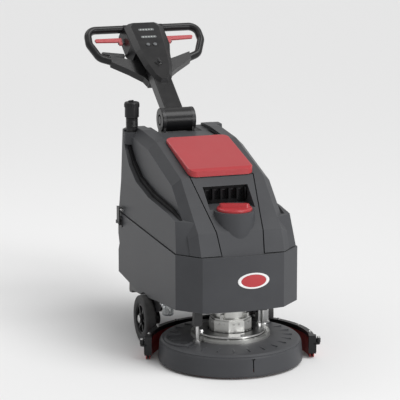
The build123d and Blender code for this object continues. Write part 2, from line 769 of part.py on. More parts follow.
with BuildPart() as control_board:
    with BuildSketch(handle_plane.offset(dash_bottom_w + 28)):
        with Locations((0, 420)):
            Rectangle(70, 120)
    extrude(amount=2)
finish(control_board, "control_board")

# pockets in the dash for the buttons, lenses, key switch and board
with BuildPart() as dash_pockets:
    with BuildSketch(handle_plane.offset(dash_top_w - button_depth - 3)):
        with Locations((-button_pitch / 2, button_t), (button_pitch / 2, button_t)):
            Circle(7.3)
        with Locations((0, key_t)):
            Circle(10.3)
    extrude(amount=30)
    with BuildSketch(handle_plane.offset(dash_top_w - 1)):
        with Locations((0, 456), (0, 415)):
            RectangleRounded(58, 12, 4)
    extrude(amount=20)
    with BuildSketch(handle_plane.offset(dash_bottom_w + 27)):
        with Locations((0, 420)):
            Rectangle(72, 122)
    extrude(amount=5)
    with BuildSketch(handle_plane.offset(dash_bottom_w + 27)):
        with Locations((-button_pitch / 2, button_t), (button_pitch / 2, button_t), (0, key_t)):
            Circle(10.3)
    extrude(amount=5)
with BuildPart() as dash_cover_cut:
    add(dash_cover.part)
    add(dash_pockets.part, mode=Mode.SUBTRACT)
finish(dash_cover_cut, "dash_cover")

# ---- handle loop: tube bent in a steeper plane, joined to the post by two thick arms ----
side_low_x = loop_half_width - 26
side_low_t = -128.0
arm_end_x = 30.0
arm_end_t = -196.0

loop_path = [(0, 0), (loop_half_width - 4, 0), (loop_half_width, -64), (side_low_x, side_low_t),
             (arm_end_x, arm_end_t)]
for side, name in ((-1, "handle_grip_left"), (1, "handle_grip_right")):
    with BuildPart() as grip:
        with BuildLine(loop_plane) as path:
            FilletPolyline(*[(side * x, t) for x, t in loop_path], radius=34)
        with BuildSketch(Plane(origin=loop_plane.from_local_coords((0, 0, 0)), z_dir=(side, 0, 0),
                               x_dir=(0, cos(loop_lean), sin(loop_lean)))):
            Ellipse(grip_radius, grip_radius + 2)
        sweep(path=path.line, transition=Transition.ROUND)
        add(dash_base.part, mode=Mode.SUBTRACT)
        add(dash_cover.part, mode=Mode.SUBTRACT)
        add(handle_post.part, mode=Mode.SUBTRACT)
    finish(grip, name)

# ---- red drive paddles: one bar each side of the dash base, on a short shaft ----
paddle_t = -44.0
paddle_w = -6.0
paddle_inner_x = 86.0
paddle_outer_x = 186.0
shaft_t = -62.0
paddle_pin_radius = 3.0
for side, name in ((-1, "paddle_left"), (1, "paddle_right")):
    with BuildPart() as paddle:
        with BuildSketch(loop_plane.offset(paddle_w - 4)):
            outline([(side * paddle_inner_x, paddle_t - 12), (side * (paddle_outer_x - 4), paddle_t - 8),
                     (side * paddle_outer_x, paddle_t + 2), (side * (paddle_outer_x - 6), paddle_t + 7),
                     (side * paddle_inner_x, paddle_t + 7)])
            outline([(side * paddle_inner_x, shaft_t - 6), (side * (paddle_inner_x + 12), shaft_t - 6),
                     (side * (paddle_inner_x + 14), paddle_t), (side * paddle_inner_x, paddle_t)])
        extrude(amount=8)
        fillet(paddle.edges().filter_by(lambda e: e.length > 60), 2)
        bore_start = loop_plane.from_local_coords((side * paddle_inner_x, shaft_t, paddle_w))
        with BuildSketch(Plane(origin=bore_start, z_dir=(side, 0, 0))):
            Circle(paddle_pin_radius + run_gap)
        extrude(amount=20, both=True, mode=Mode.SUBTRACT)
    finish(paddle, name)

# ---- lever for the water flow, on the left of the dash base ----
lever_t = -112.0
lever_w = -14.0
lever_pin_radius = 2.5
with BuildPart() as flow_lever:
    with BuildSketch(loop_plane.offset(lever_w - 5)):
        outline([(-88, lever_t - 7), (-88, lever_t + 7), (-164, lever_t + 20), (-170, lever_t + 16),
                 (-168, lever_t + 9), (-110, lever_t - 7)])
    extrude(amount=10)
    fillet(flow_lever.edges().filter_by(lambda e: e.length > 60), 2.5)
    with BuildSketch(Plane(origin=loop_plane.from_local_coords((-94, lever_t, lever_w)), z_dir=(1, 0, 0))):
        Circle(lever_pin_radius + run_gap)
    extrude(amount=20, both=True, mode=Mode.SUBTRACT)
finish(flow_lever, "flow_lever")
# pins for the paddles and the lever, moulded on the dash base
with BuildPart() as dash_body:
    for side in (-1, 1):
        pin_start = loop_plane.from_local_coords((side * (paddle_inner_x - 16), shaft_t, paddle_w))
        with BuildSketch(Plane(origin=pin_start, z_dir=(side, 0, 0))):
            Circle(paddle_pin_radius)
        extrude(amount=32)
    with BuildSketch(Plane(origin=loop_plane.from_local_coords((-100, lever_t, lever_w)), z_dir=(1, 0, 0))):
        Circle(lever_pin_radius)
    extrude(amount=36)
    add(dash_base.part)
finish(dash_body, "dash_base")

# ---- drain hose: stands in its seat at the rear left, closed by a screw cap ----
hose_low_z = deck_z - 38
cuff_z = 724.0
hose_top_z = 764.0
with BuildPart() as drain_hose:
    with BuildSketch(Plane.XY.offset(hose_low_z)):
        with Locations((hose_x, hose_y)):
            Circle(hose_radius)
            Circle(hose_radius - 4, mode=Mode.SUBTRACT)
    extrude(amount=cuff_z + 10 - hose_low_z)
    with BuildSketch(Plane.XY.offset(deck_z + 6)):
        with Locations((hose_x, hose_y)):
            Circle(hose_radius + 2)
            Circle(hose_radius - 1, mode=Mode.SUBTRACT)
    extrude(amount=4)
    add(recovery_tank.part, mode=Mode.SUBTRACT)
    with BuildSketch(Plane.XY.offset(cuff_z)):
        with Locations((hose_x, hose_y)):
            Circle(hose_radius + 5)
            Circle(hose_radius - 1, mode=Mode.SUBTRACT)
    extrude(amount=hose_top_z - cuff_z - 6)
finish(drain_hose, "drain_hose")
with BuildPart() as drain_cap:
    with BuildSketch(Plane.XY.offset(hose_top_z - 6 + 0.1)):
        with Locations((hose_x, hose_y)):
            Circle(hose_radius + 6)
    extrude(amount=18)
    fillet(drain_cap.edges().sort_by(Axis.Z)[-1], 4)
    with BuildSketch(Plane.XY.offset(cuff_z + 14)):
        with Locations((hose_x, hose_y)):
            Circle(hose_radius - 1 - part_gap)
            Circle(hose_radius - 5, mode=Mode.SUBTRACT)
    extrude(amount=hose_top_z - cuff_z - 19)
    with BuildSketch(Plane.XY.offset(hose_top_z + 12)):
        with Locations((hose_x - 3, hose_y)):
            SlotOverall(22, 8, rotation=25)
    extrude(amount=6)
finish(drain_cap, "drain_cap")

# ---- rear draw latches: base on the solution tank, lever that hooks over the seam ----
latch_y = 588.0
latch_pivot_z = 352.0
latch_width = 44.0
latch_pivot_x = tank_half_width + 8.5
with BuildPart() as latch_bases:
    for side in (-1, 1):
        with BuildSketch(Plane.YZ.offset(side * (tank_half_width + 1.5))):
            with Locations((latch_y, latch_pivot_z + 4)):
                Rectangle(latch_width, 34)
        extrude(amount=1.5, both=True)
        with BuildSketch(Plane.YZ.offset(side * (tank_half_width + 7))):
            with Locations((latch_y, latch_pivot_z)):
                with GridLocations(latch_width - 6, 1, 2, 1):
                    Rectangle(5, 12)
        extrude(amount=5, both=True)
        with BuildSketch(Plane.XZ.offset(-latch_y - latch_width / 2)):
            with Locations((side * latch_pivot_x, latch_pivot_z)):
                Circle(2)
        extrude(amount=latch_width)
finish(latch_bases, "latch_bases")

for side, label in ((-1, "left"), (1, "right")):
    with BuildPart() as latch_lever:
        with BuildSketch(Plane.XZ.offset(-latch_y - latch_width / 2 + 7)):
            with Locations((side * latch_pivot_x, latch_pivot_z + 28)):
                Rectangle(4, 58)
            with Locations((side * latch_pivot_x, latch_pivot_z)):
                Circle(4.5)
                Circle(2 + run_gap, mode=Mode.SUBTRACT)
            with Locations((side * (latch_pivot_x - 4.25), latch_pivot_z + 54)):
                Rectangle(8.5, 5)
        extrude(amount=latch_width - 14)
    finish(latch_lever, f"latch_lever_{label}")

with BuildPart() as latch_keepers:
    with BuildSketch(Plane.XY.offset(latch_pivot_z + 43)):
        with Locations((0, latch_y)):
            with GridLocations(2 * belt_half_width, 1, 2, 1):
                Rectangle(6, latch_width - 6)
    extrude(amount=7)
    add(recovery_tank.part, mode=Mode.SUBTRACT)
finish(latch_keepers, "latch_keepers")

# ---- main wheels on stub axles in side brackets ----
wheel_x = wheel_outer_x - wheel_width / 2
bracket_x = wheel_outer_x - wheel_width - 6
hub_radius = 52.0
with BuildPart() as wheel_brackets:
    for side in (-1, 1):
        with BuildSketch(Plane.YZ.offset(side * bracket_x)):
            outline([(wheel_y + 46, tray_roof_z - 12), (141, tray_roof_z - 12), (141, 162), (165, 152),
                     (189, 130), (232, 118), (258, 90), (wheel_y - 26, 62), (wheel_y + 26, 62),
                     (wheel_y + 46, 100)])
        extrude(amount=4, both=True)
        with BuildSketch(Plane.YZ.offset(side * bracket_x)):
            with Locations((wheel_y, wheel_radius)):
                Circle(22)
        extrude(amount=side * -24)
        with BuildSketch(Plane.XY.offset(tray_z - 12)):
            with Locations((side * (bracket_x + 134) / 2, wheel_y)):
                Rectangle(bracket_x - 134, 80)
        extrude(amount=12)
    add(solution_tank.part, mode=Mode.SUBTRACT)
    for side in (-1, 1):
        with BuildSketch(Plane.YZ.offset(side * (bracket_x - 24))):
            with Locations((wheel_y, wheel_radius)):
                Circle(axle_radius)
        extrude(amount=side * (wheel_outer_x - bracket_x + 22))
        with BuildSketch(Plane.YZ.offset(side * (wheel_outer_x - 2))):
            with Locations((wheel_y, wheel_radius)):
                Circle(14)
        extrude(amount=side * 3)
finish(wheel_brackets, "wheel_brackets")

for side, label in ((-1, "left"), (1, "right")):
    with BuildPart() as hub:
        with BuildSketch(Plane.XZ.offset(-wheel_y)):
            with Locations((side * wheel_x, wheel_radius + hub_radius / 2 + 6)):
                Rectangle(wheel_width - 10, hub_radius - 12)
            with Locations((side * (wheel_x + 12), wheel_radius + 33)):
                Rectangle(16, 26, mode=Mode.SUBTRACT)
            with Locations((side * wheel_x, wheel_radius + (axle_radius + run_gap + 20) / 2)):
                Rectangle(wheel_width - 5, 20 - axle_radius - run_gap)
        revolve(axis=Axis((0, wheel_y, wheel_radius), (1, 0, 0)))
        with BuildSketch(Plane.YZ.offset(side * (wheel_x + 3))):
            with Locations((wheel_y, wheel_radius)):
                with PolarLocations(33, 6):
                    Rectangle(28, 7)
        extrude(amount=side * 10)
    finish(hub, f"wheel_hub_{label}")
    with BuildPart() as tyre:
        with BuildSketch(Plane.XZ.offset(-wheel_y)):
            with Locations((side * wheel_x, wheel_radius + (wheel_radius + hub_radius) / 2)):
                RectangleRounded(wheel_width - 1, wheel_radius - hub_radius, 7)
            with Locations((side * wheel_x, wheel_radius + hub_radius + 4)):
                Rectangle(wheel_width - 4, 8)
        revolve(axis=Axis((0, wheel_y, wheel_radius), (1, 0, 0)))
    finish(tyre, f"tyre_{label}")

# ---- rear casters ----
for side, label in ((-1, "left"), (1, "right")):
    cx = side * caster_x
    with BuildPart() as caster_fork:
        with BuildSketch(Plane.XY.offset(fork_z)):
            with Locations((cx, caster_y)):
                Circle(21)
        extrude(amount=9 - part_gap)
        with BuildSketch(Plane.XY.offset(fork_z)):
            with Locations((cx, caster_y)):
                Circle(8)
        extrude(amount=50)
        for x in (-15.5, 15.5):
            with BuildSketch(Plane.YZ.offset(cx + x)):
                axle_y = caster_y + caster_trail
                outline([(caster_y - 14, fork_z + 1), (caster_y + 18, fork_z + 1),
                         (axle_y + 9, caster_radius + 3), (axle_y + 7, caster_radius - 9),
                         (axle_y - 7, caster_radius - 9), (axle_y - 9, caster_radius + 3)])
            extrude(amount=1.5, both=True)
        with BuildSketch(Plane.YZ.offset(cx)):
            with Locations((caster_y + caster_trail, caster_radius)):
                Circle(4)
        extrude(amount=17, both=True)
    finish(caster_fork, f"caster_fork_{label}")
    with BuildPart() as caster_wheel:
        with BuildSketch(Plane.YZ.offset(cx)):
            with Locations((caster_y + caster_trail, caster_radius)):
                Circle(caster_radius)
                Circle(4 + run_gap, mode=Mode.SUBTRACT)
        extrude(amount=12, both=True)
        fillet(caster_wheel.edges().filter_by(GeomType.CIRCLE).group_by(SortBy.RADIUS)[-1], 3)
    finish(caster_wheel, f"caster_wheel_{label}")

# ---- scrub deck: cover, skirt, swivel ring, gear motor ----
with BuildPart() as deck_cover:
    with BuildSketch(Plane.XZ):
        outline([(62, cover_z), (142, cover_z), (212, 81), (226, 79), (deck_rim_radius, rim_z),
                 (deck_rim_radius, rim_z - 3), (206, 75), (140, cover_z - 6), (62, cover_z - 6)])
    revolve(axis=Axis.Z)
    with BuildSketch(Plane.XY.offset(77)):
        with PolarLocations(182, 24):
            Rectangle(46, 3)
    extrude(amount=8.5)
finish(deck_cover, "deck_cover")

with BuildPart() as deck_skirt:
    with BuildSketch(Plane.XZ):
        outline([(226, rim_z - 3.2), (deck_rim_radius + 1.5, rim_z - 3.2), (deck_rim_radius + 3.5, rim_z - 8),
                 (skirt_radius, skirt_gap + 6), (skirt_radius - 1, skirt_gap), (skirt_radius - 6, skirt_gap),
                 (228, rim_z - 9), (216, rim_z - 7), (216, rim_z - 3.4)])
    revolve(axis=Axis.Z)
    with BuildSketch(Plane.XZ.offset(skirt_radius - 12)):
        with Locations((0, 44)):
            Rectangle(4, 42)
        with Locations((0, rim_z - 10)):
            Rectangle(13, 5)
    extrude(amount=20, mode=Mode.SUBTRACT)
finish(deck_skirt, "deck_skirt")

ring_z = cover_z
with BuildPart() as swivel_ring:
    with BuildSketch(Plane.XY.offset(ring_z)):
        Circle(ring_radius)
        Circle(ring_radius - ring_width, mode=Mode.SUBTRACT)
    extrude(amount=ring_height)
    fillet(swivel_ring.edges().sort_by(Axis.Z)[-1], 1.5)
finish(swivel_ring, "swivel_ring")

shaft_radius = 12.0
motor_radius = 70.0
motor_top_z = 152.0
with BuildPart() as gear_motor:
    with BuildSketch(Plane.XY.offset(cover_z)):
        Circle(motor_radius + 6)
        Circle(shaft_radius + run_gap, mode=Mode.SUBTRACT)
    extrude(amount=10)
    with BuildSketch(Plane.XY.offset(cover_z + 10)):
        RegularPolygon(motor_radius, 8, rotation=22.5)
        Circle(shaft_radius + run_gap, mode=Mode.SUBTRACT)
    extrude(amount=motor_top_z - cover_z - 16)
    with BuildSketch(Plane.XY.offset(motor_top_z - 6)):
        RegularPolygon(motor_radius - 4, 8, rotation=22.5)
    extrude(amount=6)
    with BuildSketch(Plane.XY.offset(motor_top_z)):
        Circle(52)
    extrude(amount=30)
    fillet(gear_motor.edges().sort_by(Axis.Z)[-1], 5)
    with BuildSketch(Plane.XY.offset(motor_top_z)):
        with PolarLocations(58, 4, start_angle=45):
            Rectangle(14, 10)
    extrude(amount=16)
finish(gear_motor, "gear_motor")

# ---- scrub drive: shaft, pad driver and floor pad ----
with BuildPart() as pad_driver:
    with BuildSketch(Plane.XY.offset(pad_thickness)):
        Circle(pad_radius - 8)
    extrude(amount=14)
    with BuildSketch(Plane.XY.offset(pad_thickness + 14)):
        Circle(58)
    extrude(amount=20)
    with BuildSketch(Plane.XY.offset(pad_thickness + 34)):
        Circle(shaft_radius)
    extrude(amount=motor_top_z - 8 - pad_thickness - 34)
finish(pad_driver, "pad_driver")

with BuildPart() as scrub_pad:
    with BuildSketch():
        Circle(pad_radius)
    extrude(amount=pad_thickness)
finish(scrub_pad, "scrub_pad")

# ---- lift bracket on the deck and the lift pedal that raises it ----
lift_x = 140.0
lift_y = 120.0
lift_shaft_y = 400.0
lift_shaft_z = 118.0
lift_arm_x = 126.0
pedal_x = 152.0
pedal_end_y = 668.0
guide_radius = 6.0
guide_spots = [(-134, -62), (134, 62)]
with BuildPart() as lift_bracket:
    with BuildSketch(Plane.XY.offset(cover_z - 7)):
        with Locations((lift_x + 17, lift_y + 12)):
            Rectangle(42, 34)
    extrude(amount=6)
    with BuildSketch(Plane.XZ.offset(-lift_y)):
        with Locations((lift_x + 17, (cover_z - 4 + 150) / 2)):
            Rectangle(36, 150 - cover_z + 4)
    extrude(amount=4)
    with BuildSketch(Plane.YZ.offset(lift_x)):
        with Locations((lift_y + 14, (cover_z - 4 + 150) / 2)):
            Rectangle(32, 150 - cover_z + 4)
        with Locations((lift_y + 14, lift_shaft_z)):
            SlotOverall(20, 8.8, mode=Mode.SUBTRACT)
    extrude(amount=2, both=True)
    add(deck_cover.part, mode=Mode.SUBTRACT)

with BuildPart() as lift_pedal:
    with BuildSketch(Plane.YZ.offset(-pedal_x - 6)):
        with Locations((lift_shaft_y, lift_shaft_z)):
            Circle(8)
    extrude(amount=pedal_x + lift_arm_x + 12)
    with BuildSketch(Plane.YZ.offset(lift_arm_x)):
        outline([(lift_shaft_y - 2, lift_shaft_z - 8), (lift_y + 8, lift_shaft_z - 6),
                 (lift_y + 2, lift_shaft_z), (lift_y + 8, lift_shaft_z + 8),
                 (lift_shaft_y - 2, lift_shaft_z + 11)])
    extrude(amount=3, both=True)
    with BuildSketch(Plane.YZ.offset(lift_arm_x)):
        with Locations((lift_y + 14, lift_shaft_z)):
            Circle(4)
    extrude(amount=lift_x - lift_arm_x + 4)
    with BuildSketch(Plane.YZ.offset(-pedal_x)):
        outline([(lift_shaft_y, lift_shaft_z - 10), (lift_shaft_y, lift_shaft_z + 10), (560, 118),
                 (pedal_end_y - 30, 106), (pedal_end_y - 30, 88), (560, 98)])
    extrude(amount=4, both=True)
    with BuildSketch(Plane.YZ.offset(-pedal_x + 18)):
        outline([(pedal_end_y - 30, 80), (pedal_end_y, 76), (pedal_end_y + 6, 84), (pedal_end_y + 4, 110),
                 (pedal_end_y - 30, 114)])
    extrude(amount=22, both=True)
finish(lift_pedal, "lift_pedal")

with BuildPart() as deck_hangers:
    for x in (-130, 108):
        with BuildSketch(Plane.YZ.offset(x)):
            with Locations((lift_shaft_y, (lift_shaft_z + tray_z) / 2)):
                Rectangle(30, tray_z - lift_shaft_z)
            with Locations((lift_shaft_y, lift_shaft_z)):
                Circle(15)
                Circle(8 + run_gap, mode=Mode.SUBTRACT)
        extrude(amount=4, both=True)
    for x, y in guide_spots:
        with BuildSketch(Plane.XY.offset(144)):
            with Locations((x, y)):
                RectangleRounded(28, 28, 4)
                Circle(guide_radius + run_gap, mode=Mode.SUBTRACT)
        extrude(amount=bay_roof_z - 144)
finish(deck_hangers, "deck_hangers")

# ---- deck guides: rods on the deck, which slide in the sleeves ----
with BuildPart() as guide_rods:
    for x, y in guide_spots:
        with BuildSketch(Plane.XY.offset(cover_z - 2)):
            with Locations((x, y)):
                Circle(14)
        extrude(amount=8)
        with BuildSketch(Plane.XY.offset(cover_z)):
            with Locations((x, y)):
                Circle(guide_radius)
        extrude(amount=92)
    add(deck_cover.part, mode=Mode.SUBTRACT)
    add(lift_bracket.part)
finish(guide_rods, "deck_guides")

# ---- squeegee: carriage that swings round the motor, arm, holder, two blades, ends, rollers ----
carriage_z = ring_z + ring_height + 2
trail = 90.0 + squeegee_swing
first_angle = trail - squeegee_span / 2
last_angle = trail + squeegee_span / 2


def polar(radius, angle):
    return (radius * cos(radians(angle)), radius * sin(radians(angle)))


def arc_band(inner, outer, start, end):
    Circle(outer)
    Circle(inner, mode=Mode.SUBTRACT)
    fan = [polar(2 * outer, start + (end - start) * step / 4) for step in range(5)]
    Polygon((0, 0), *fan, align=None, mode=Mode.INTERSECT)


arm_plane = Plane(origin=(0, 0, carriage_z), x_dir=(*polar(1, trail), 0), z_dir=(0, 0, 1))
with BuildPart() as squeegee_arm:
    with BuildSketch(arm_plane):
        Circle(ring_radius - ring_width - 1)
        with Locations((190, 0)):
            Rectangle(164, 50)
        Circle(motor_radius + 6.5, mode=Mode.SUBTRACT)
    extrude(amount=6)
    with BuildSketch(Plane.XY.offset(78)):
        arc_band(squeegee_radius - 10, squeegee_radius - 1, trail - 6, trail + 6)
    extrude(amount=carriage_z - 78 + 1)
    with BuildSketch(Plane.XY.offset(cover_z + 2)):
        with PolarLocations(ring_radius - ring_width - 12, 4, start_angle=trail + 20):
            Circle(11.8)
    extrude(amount=carriage_z - cover_z - 2)
    with BuildSketch(Plane.XY.offset(carriage_z + 6)):
        with PolarLocations(ring_radius - ring_width - 12, 4, start_angle=trail + 20):
            RegularPolygon(7, 6)
    extrude(amount=6)
finish(squeegee_arm, "squeegee_arm")

roller_height = 14.0
end_spots = ((first_angle, -1, "right"), (last_angle, 1, "left"))
with BuildPart() as squeegee_holder:
    with BuildSketch(Plane.XY.offset(34)):
        arc_band(squeegee_radius - 4, squeegee_radius + 4, first_angle, last_angle)
    extrude(amount=30)
    with BuildSketch(Plane.XY.offset(64)):
        arc_band(squeegee_radius - 10, squeegee_radius + 7, first_angle, last_angle)
    extrude(amount=14)
    with BuildSketch(Plane.XY.offset(64)):
        with Locations(polar(squeegee_radius - 1, trail)):
            Circle(17)
    extrude(amount=40)
    with BuildSketch(Plane.XY.offset(34)):
        with Locations(polar(squeegee_radius - 1, trail)):
            Circle(12)
    extrude(amount=80, mode=Mode.SUBTRACT)
    for end_angle, turn, label in end_spots:
        with BuildSketch(Plane.XY.offset(18)):
            arc_band(squeegee_radius - 12, squeegee_radius + 12, *sorted((end_angle, end_angle + turn * 4)))
        extrude(amount=62)
        with BuildSketch(Plane.XY.offset(50)):
            with Locations(polar(squeegee_radius + 14, end_angle + turn * 2.4)):
                Circle(12)
        extrude(amount=5)
        with BuildSketch(Plane.XY.offset(55)):
            with Locations(polar(squeegee_radius + 20, end_angle + turn * 2.4)):
                Circle(4)
        extrude(amount=roller_height + 3)
    add(squeegee_arm.part, mode=Mode.SUBTRACT)
finish(squeegee_holder, "squeegee_holder")

blade_low = 0.3
with BuildPart() as front_blade:
    with BuildSketch(Plane.XY.offset(blade_low)):
        arc_band(squeegee_radius - 7.5, squeegee_radius - 4.2, first_angle + 0.1, last_angle - 0.1)
    extrude(amount=62)
finish(front_blade, "front_blade")
with BuildPart() as rear_blade:
    with BuildSketch(Plane.XY.offset(blade_low)):
        arc_band(squeegee_radius + 4.2, squeegee_radius + 7.5, first_angle + 0.1, last_angle - 0.1)
    extrude(amount=62)
finish(rear_blade, "rear_blade")

with BuildPart() as blade_straps:
    with BuildSketch(Plane.XY.offset(42)):
        arc_band(squeegee_radius + 7.7, squeegee_radius + 9.2, first_angle, last_angle)
    extrude(amount=12)
    for index in range(9):
        angle = first_angle + 6 + index * (squeegee_span - 12) / 8
        with BuildSketch(Plane(origin=(*polar(squeegee_radius + 9, angle), 48), z_dir=(*polar(1, angle), 0))):
            Circle(5)
        extrude(amount=2.5)
finish(blade_straps, "blade_straps")

for end_angle, turn, label in end_spots:
    with BuildPart() as roller:
        with BuildSketch(Plane.XY.offset(55 + part_gap)):
            with Locations(polar(squeegee_radius + 20, end_angle + turn * 2.4)):
                Circle(7.5)
                Circle(4 + run_gap, mode=Mode.SUBTRACT)
        extrude(amount=roller_height)
        fillet(roller.edges().filter_by(GeomType.CIRCLE).group_by(SortBy.RADIUS)[-1], 1.5)
    finish(roller, f"guard_roller_{label}")
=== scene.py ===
import json
import math

import bmesh
import bpy
from mathutils import Matrix, Vector


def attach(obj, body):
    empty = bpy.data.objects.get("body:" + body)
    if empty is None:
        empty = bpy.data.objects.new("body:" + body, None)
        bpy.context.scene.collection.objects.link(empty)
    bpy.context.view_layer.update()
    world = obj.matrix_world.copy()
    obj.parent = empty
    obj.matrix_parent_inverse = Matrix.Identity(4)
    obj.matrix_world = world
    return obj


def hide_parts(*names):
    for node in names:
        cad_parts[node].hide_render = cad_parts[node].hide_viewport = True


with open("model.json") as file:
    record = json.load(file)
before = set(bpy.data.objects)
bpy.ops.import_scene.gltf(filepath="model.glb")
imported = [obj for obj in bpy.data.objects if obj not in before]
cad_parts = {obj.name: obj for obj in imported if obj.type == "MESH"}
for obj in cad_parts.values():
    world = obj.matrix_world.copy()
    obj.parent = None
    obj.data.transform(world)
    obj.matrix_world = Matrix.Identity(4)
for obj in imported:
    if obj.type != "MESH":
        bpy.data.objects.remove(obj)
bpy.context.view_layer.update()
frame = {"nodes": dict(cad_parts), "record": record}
print("frame loaded")



def alongAxis(centre, normal, spin=0.0):
    # places a shape made round +Z at centre, looking along normal
    turn = Vector((0, 0, 1)).rotation_difference(Vector(normal).normalized())
    return Matrix.Translation(centre) @ turn.to_matrix().to_4x4() @ Matrix.Rotation(spin, 4, "Z")


def latheInto(mesh, profile, place, sides=32, start=0.0, sweep=math.tau):
    # profile is a list of (radius, height); a radius of 0 closes the shape
    whole = abs(sweep - math.tau) < 1e-6
    steps = sides if whole else sides + 1
    rings = []
    for radius, height in profile:
        if radius == 0:
            rings.append([mesh.verts.new(place @ Vector((0, 0, height)))] * steps)
            continue
        ring = []
        for step in range(steps):
            angle = start + sweep * step / sides
            ring.append(mesh.verts.new(place @ Vector((radius * math.cos(angle), radius * math.sin(angle),
                                                       height))))
        rings.append(ring)
    for low, high in zip(rings, rings[1:]):
        for step in range(steps if whole else steps - 1):
            after = (step + 1) % steps
            corners = []
            for corner in (low[step], low[after], high[after], high[step]):
                if corner not in corners:
                    corners.append(corner)
            if len(corners) > 2:
                mesh.faces.new(corners)
    if not whole and rings[0] is not rings[-1]:
        for step in (0, steps - 1):
            corners = []
            for ring in rings:
                if ring[step] not in corners:
                    corners.append(ring[step])
            mesh.faces.new(corners)


def hexBolt(mesh, centre, normal, radius, height, spin=0.0):
    # washer first, then a head with a chamfered rim
    place = alongAxis(centre, normal, spin)
    washer = height * 0.25
    latheInto(mesh, [(0, 0), (radius * 1.35, 0), (radius * 1.35, washer * 0.8), (radius * 1.28, washer),
                     (0, washer)],
              place, 24)
    head = [(0, washer), (radius, washer), (radius, height * 0.85), (radius * 0.86, height), (0, height)]
    latheInto(mesh, head, place, 6)


def panScrew(mesh, centre, normal, radius, height):
    # domed head with a round recess
    place = alongAxis(centre, normal)
    dome = [(radius, 0), (radius, height * 0.35), (radius * 0.85, height * 0.8), (radius * 0.5, height),
            (radius * 0.42, height), (radius * 0.3, height * 0.45), (0, height * 0.4)]
    latheInto(mesh, dome, place, 20)


def blockInto(mesh, low, high, chamfer, place=Matrix.Identity(4)):
    # box with all its edges cut back by chamfer
    centre = [(a + b) / 2 for a, b in zip(low, high)]
    half = [(b - a) / 2 for a, b in zip(low, high)]
    points = []
    for signs in ((x, y, z) for x in (-1, 1) for y in (-1, 1) for z in (-1, 1)):
        for axis in range(3):
            inner = [half[i] - (0 if i == axis else chamfer) for i in range(3)]
            points.append(place @ Vector([centre[i] + signs[i] * inner[i] for i in range(3)]))
    verts = [mesh.verts.new(point) for point in points]
    bmesh.ops.convex_hull(mesh, input=verts)


def tubeInto(mesh, path, radius, sides=12, closed=False, flat=1.0):
    # round or flattened tube along a list of points
    count = len(path)
    rings = []
    for index, point in enumerate(path):
        before = path[index - 1] if index or closed else path[index]
        after = path[(index + 1) % count] if index < count - 1 or closed else path[index]
        ahead = (Vector(after) - Vector(before)).normalized()
        side = ahead.cross(Vector((0, 0, 1)))
        if side.length < 1e-4:
            side = Vector((1, 0, 0))
        side.normalize()
        up = side.cross(ahead).normalized()
        ring = []
        for step in range(sides):
            angle = math.tau * step / sides
            ring.append(mesh.verts.new(Vector(point) + side * radius * math.cos(angle)
                                       + up * radius * flat * math.sin(angle)))
        rings.append(ring)
    pairs = list(zip(rings, rings[1:]))
    if closed:
        pairs.append((rings[-1], rings[0]))
    for low, high in pairs:
        for step in range(sides):
            after = (step + 1) % sides
            mesh.faces.new((low[step], low[after], high[after], high[step]))
    if not closed:
        mesh.faces.new(list(reversed(rings[0])))
        mesh.faces.new(rings[-1])


def piece(name, mesh, material, body, smoothAngle=35):
    bmesh.ops.recalc_face_normals(mesh, faces=mesh.faces)
    data = bpy.data.meshes.new(name)
    mesh.to_mesh(data)
    mesh.free()
    made = bpy.data.objects.new(name, data)
    bpy.context.scene.collection.objects.link(made)
    data.materials.append(material)
    data.shade_smooth()
    for edge in data.edges:
        edge.use_edge_sharp = False
    markSharp(data, math.radians(smoothAngle))
    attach(made, body)
    return made


def markSharp(data, angle):
    work = bmesh.new()
    work.from_mesh(data)
    for edge in work.edges:
        if len(edge.link_faces) == 2 and edge.calc_face_angle(0.0) > angle:
            edge.smooth = False
    work.to_mesh(data)
    work.free()


def startGroup(name, inputs, outputs):
    group = bpy.data.node_groups.new(name, "ShaderNodeTree")
    for label, kind, value in inputs:
        socket = group.interface.new_socket(name=label, in_out="INPUT", socket_type=kind)
        socket.default_value = value
    for label, kind in outputs:
        group.interface.new_socket(name=label, in_out="OUTPUT", socket_type=kind)
    return group, group.nodes.new("NodeGroupInput"), group.nodes.new("NodeGroupOutput")


def mathNode(tree, operation, first, second=None, clamp=False):
    node = tree.nodes.new("ShaderNodeMath")
    node.operation = operation
    node.use_clamp = clamp
    for socket, value in zip(node.inputs, (first, second)):
        if value is None:
            continue
        if isinstance(value, (int, float)):
            socket.default_value = value
        else:
            tree.links.new(value, socket)
    return node.outputs[0]


def makeGrainGroup():
    # two sizes of noise: a fine moulded texture and a slow change of tone
    group, given, out = startGroup(
        "mouldedGrain",
        [("Grain Scale", "NodeSocketFloat", 900.0), ("Tone Scale", "NodeSocketFloat", 9.0),
         ("Tone Depth", "NodeSocketFloat", 1.0)],
        [("Height", "NodeSocketFloat"), ("Tone", "NodeSocketFloat")])
    place = group.nodes.new("ShaderNodeTexCoord")
    fine = group.nodes.new("ShaderNodeTexNoise")
    fine.inputs["Detail"].default_value = 3.0
    slow = group.nodes.new("ShaderNodeTexNoise")
    slow.inputs["Detail"].default_value = 5.0
    slow.inputs["Roughness"].default_value = 0.6
    for texture, label in ((fine, "Grain Scale"), (slow, "Tone Scale")):
        group.links.new(place.outputs["Object"], texture.inputs["Vector"])
        group.links.new(given.outputs[label], texture.inputs["Scale"])
    spread = mathNode(group, "SUBTRACT", slow.outputs["Fac"], 0.5)
    deeper = mathNode(group, "MULTIPLY", spread, given.outputs["Tone Depth"])
    tone = mathNode(group, "ADD", deeper, 0.5, clamp=True)
    group.links.new(fine.outputs["Fac"], out.inputs["Height"])
    group.links.new(tone, out.inputs["Tone"])
    return group


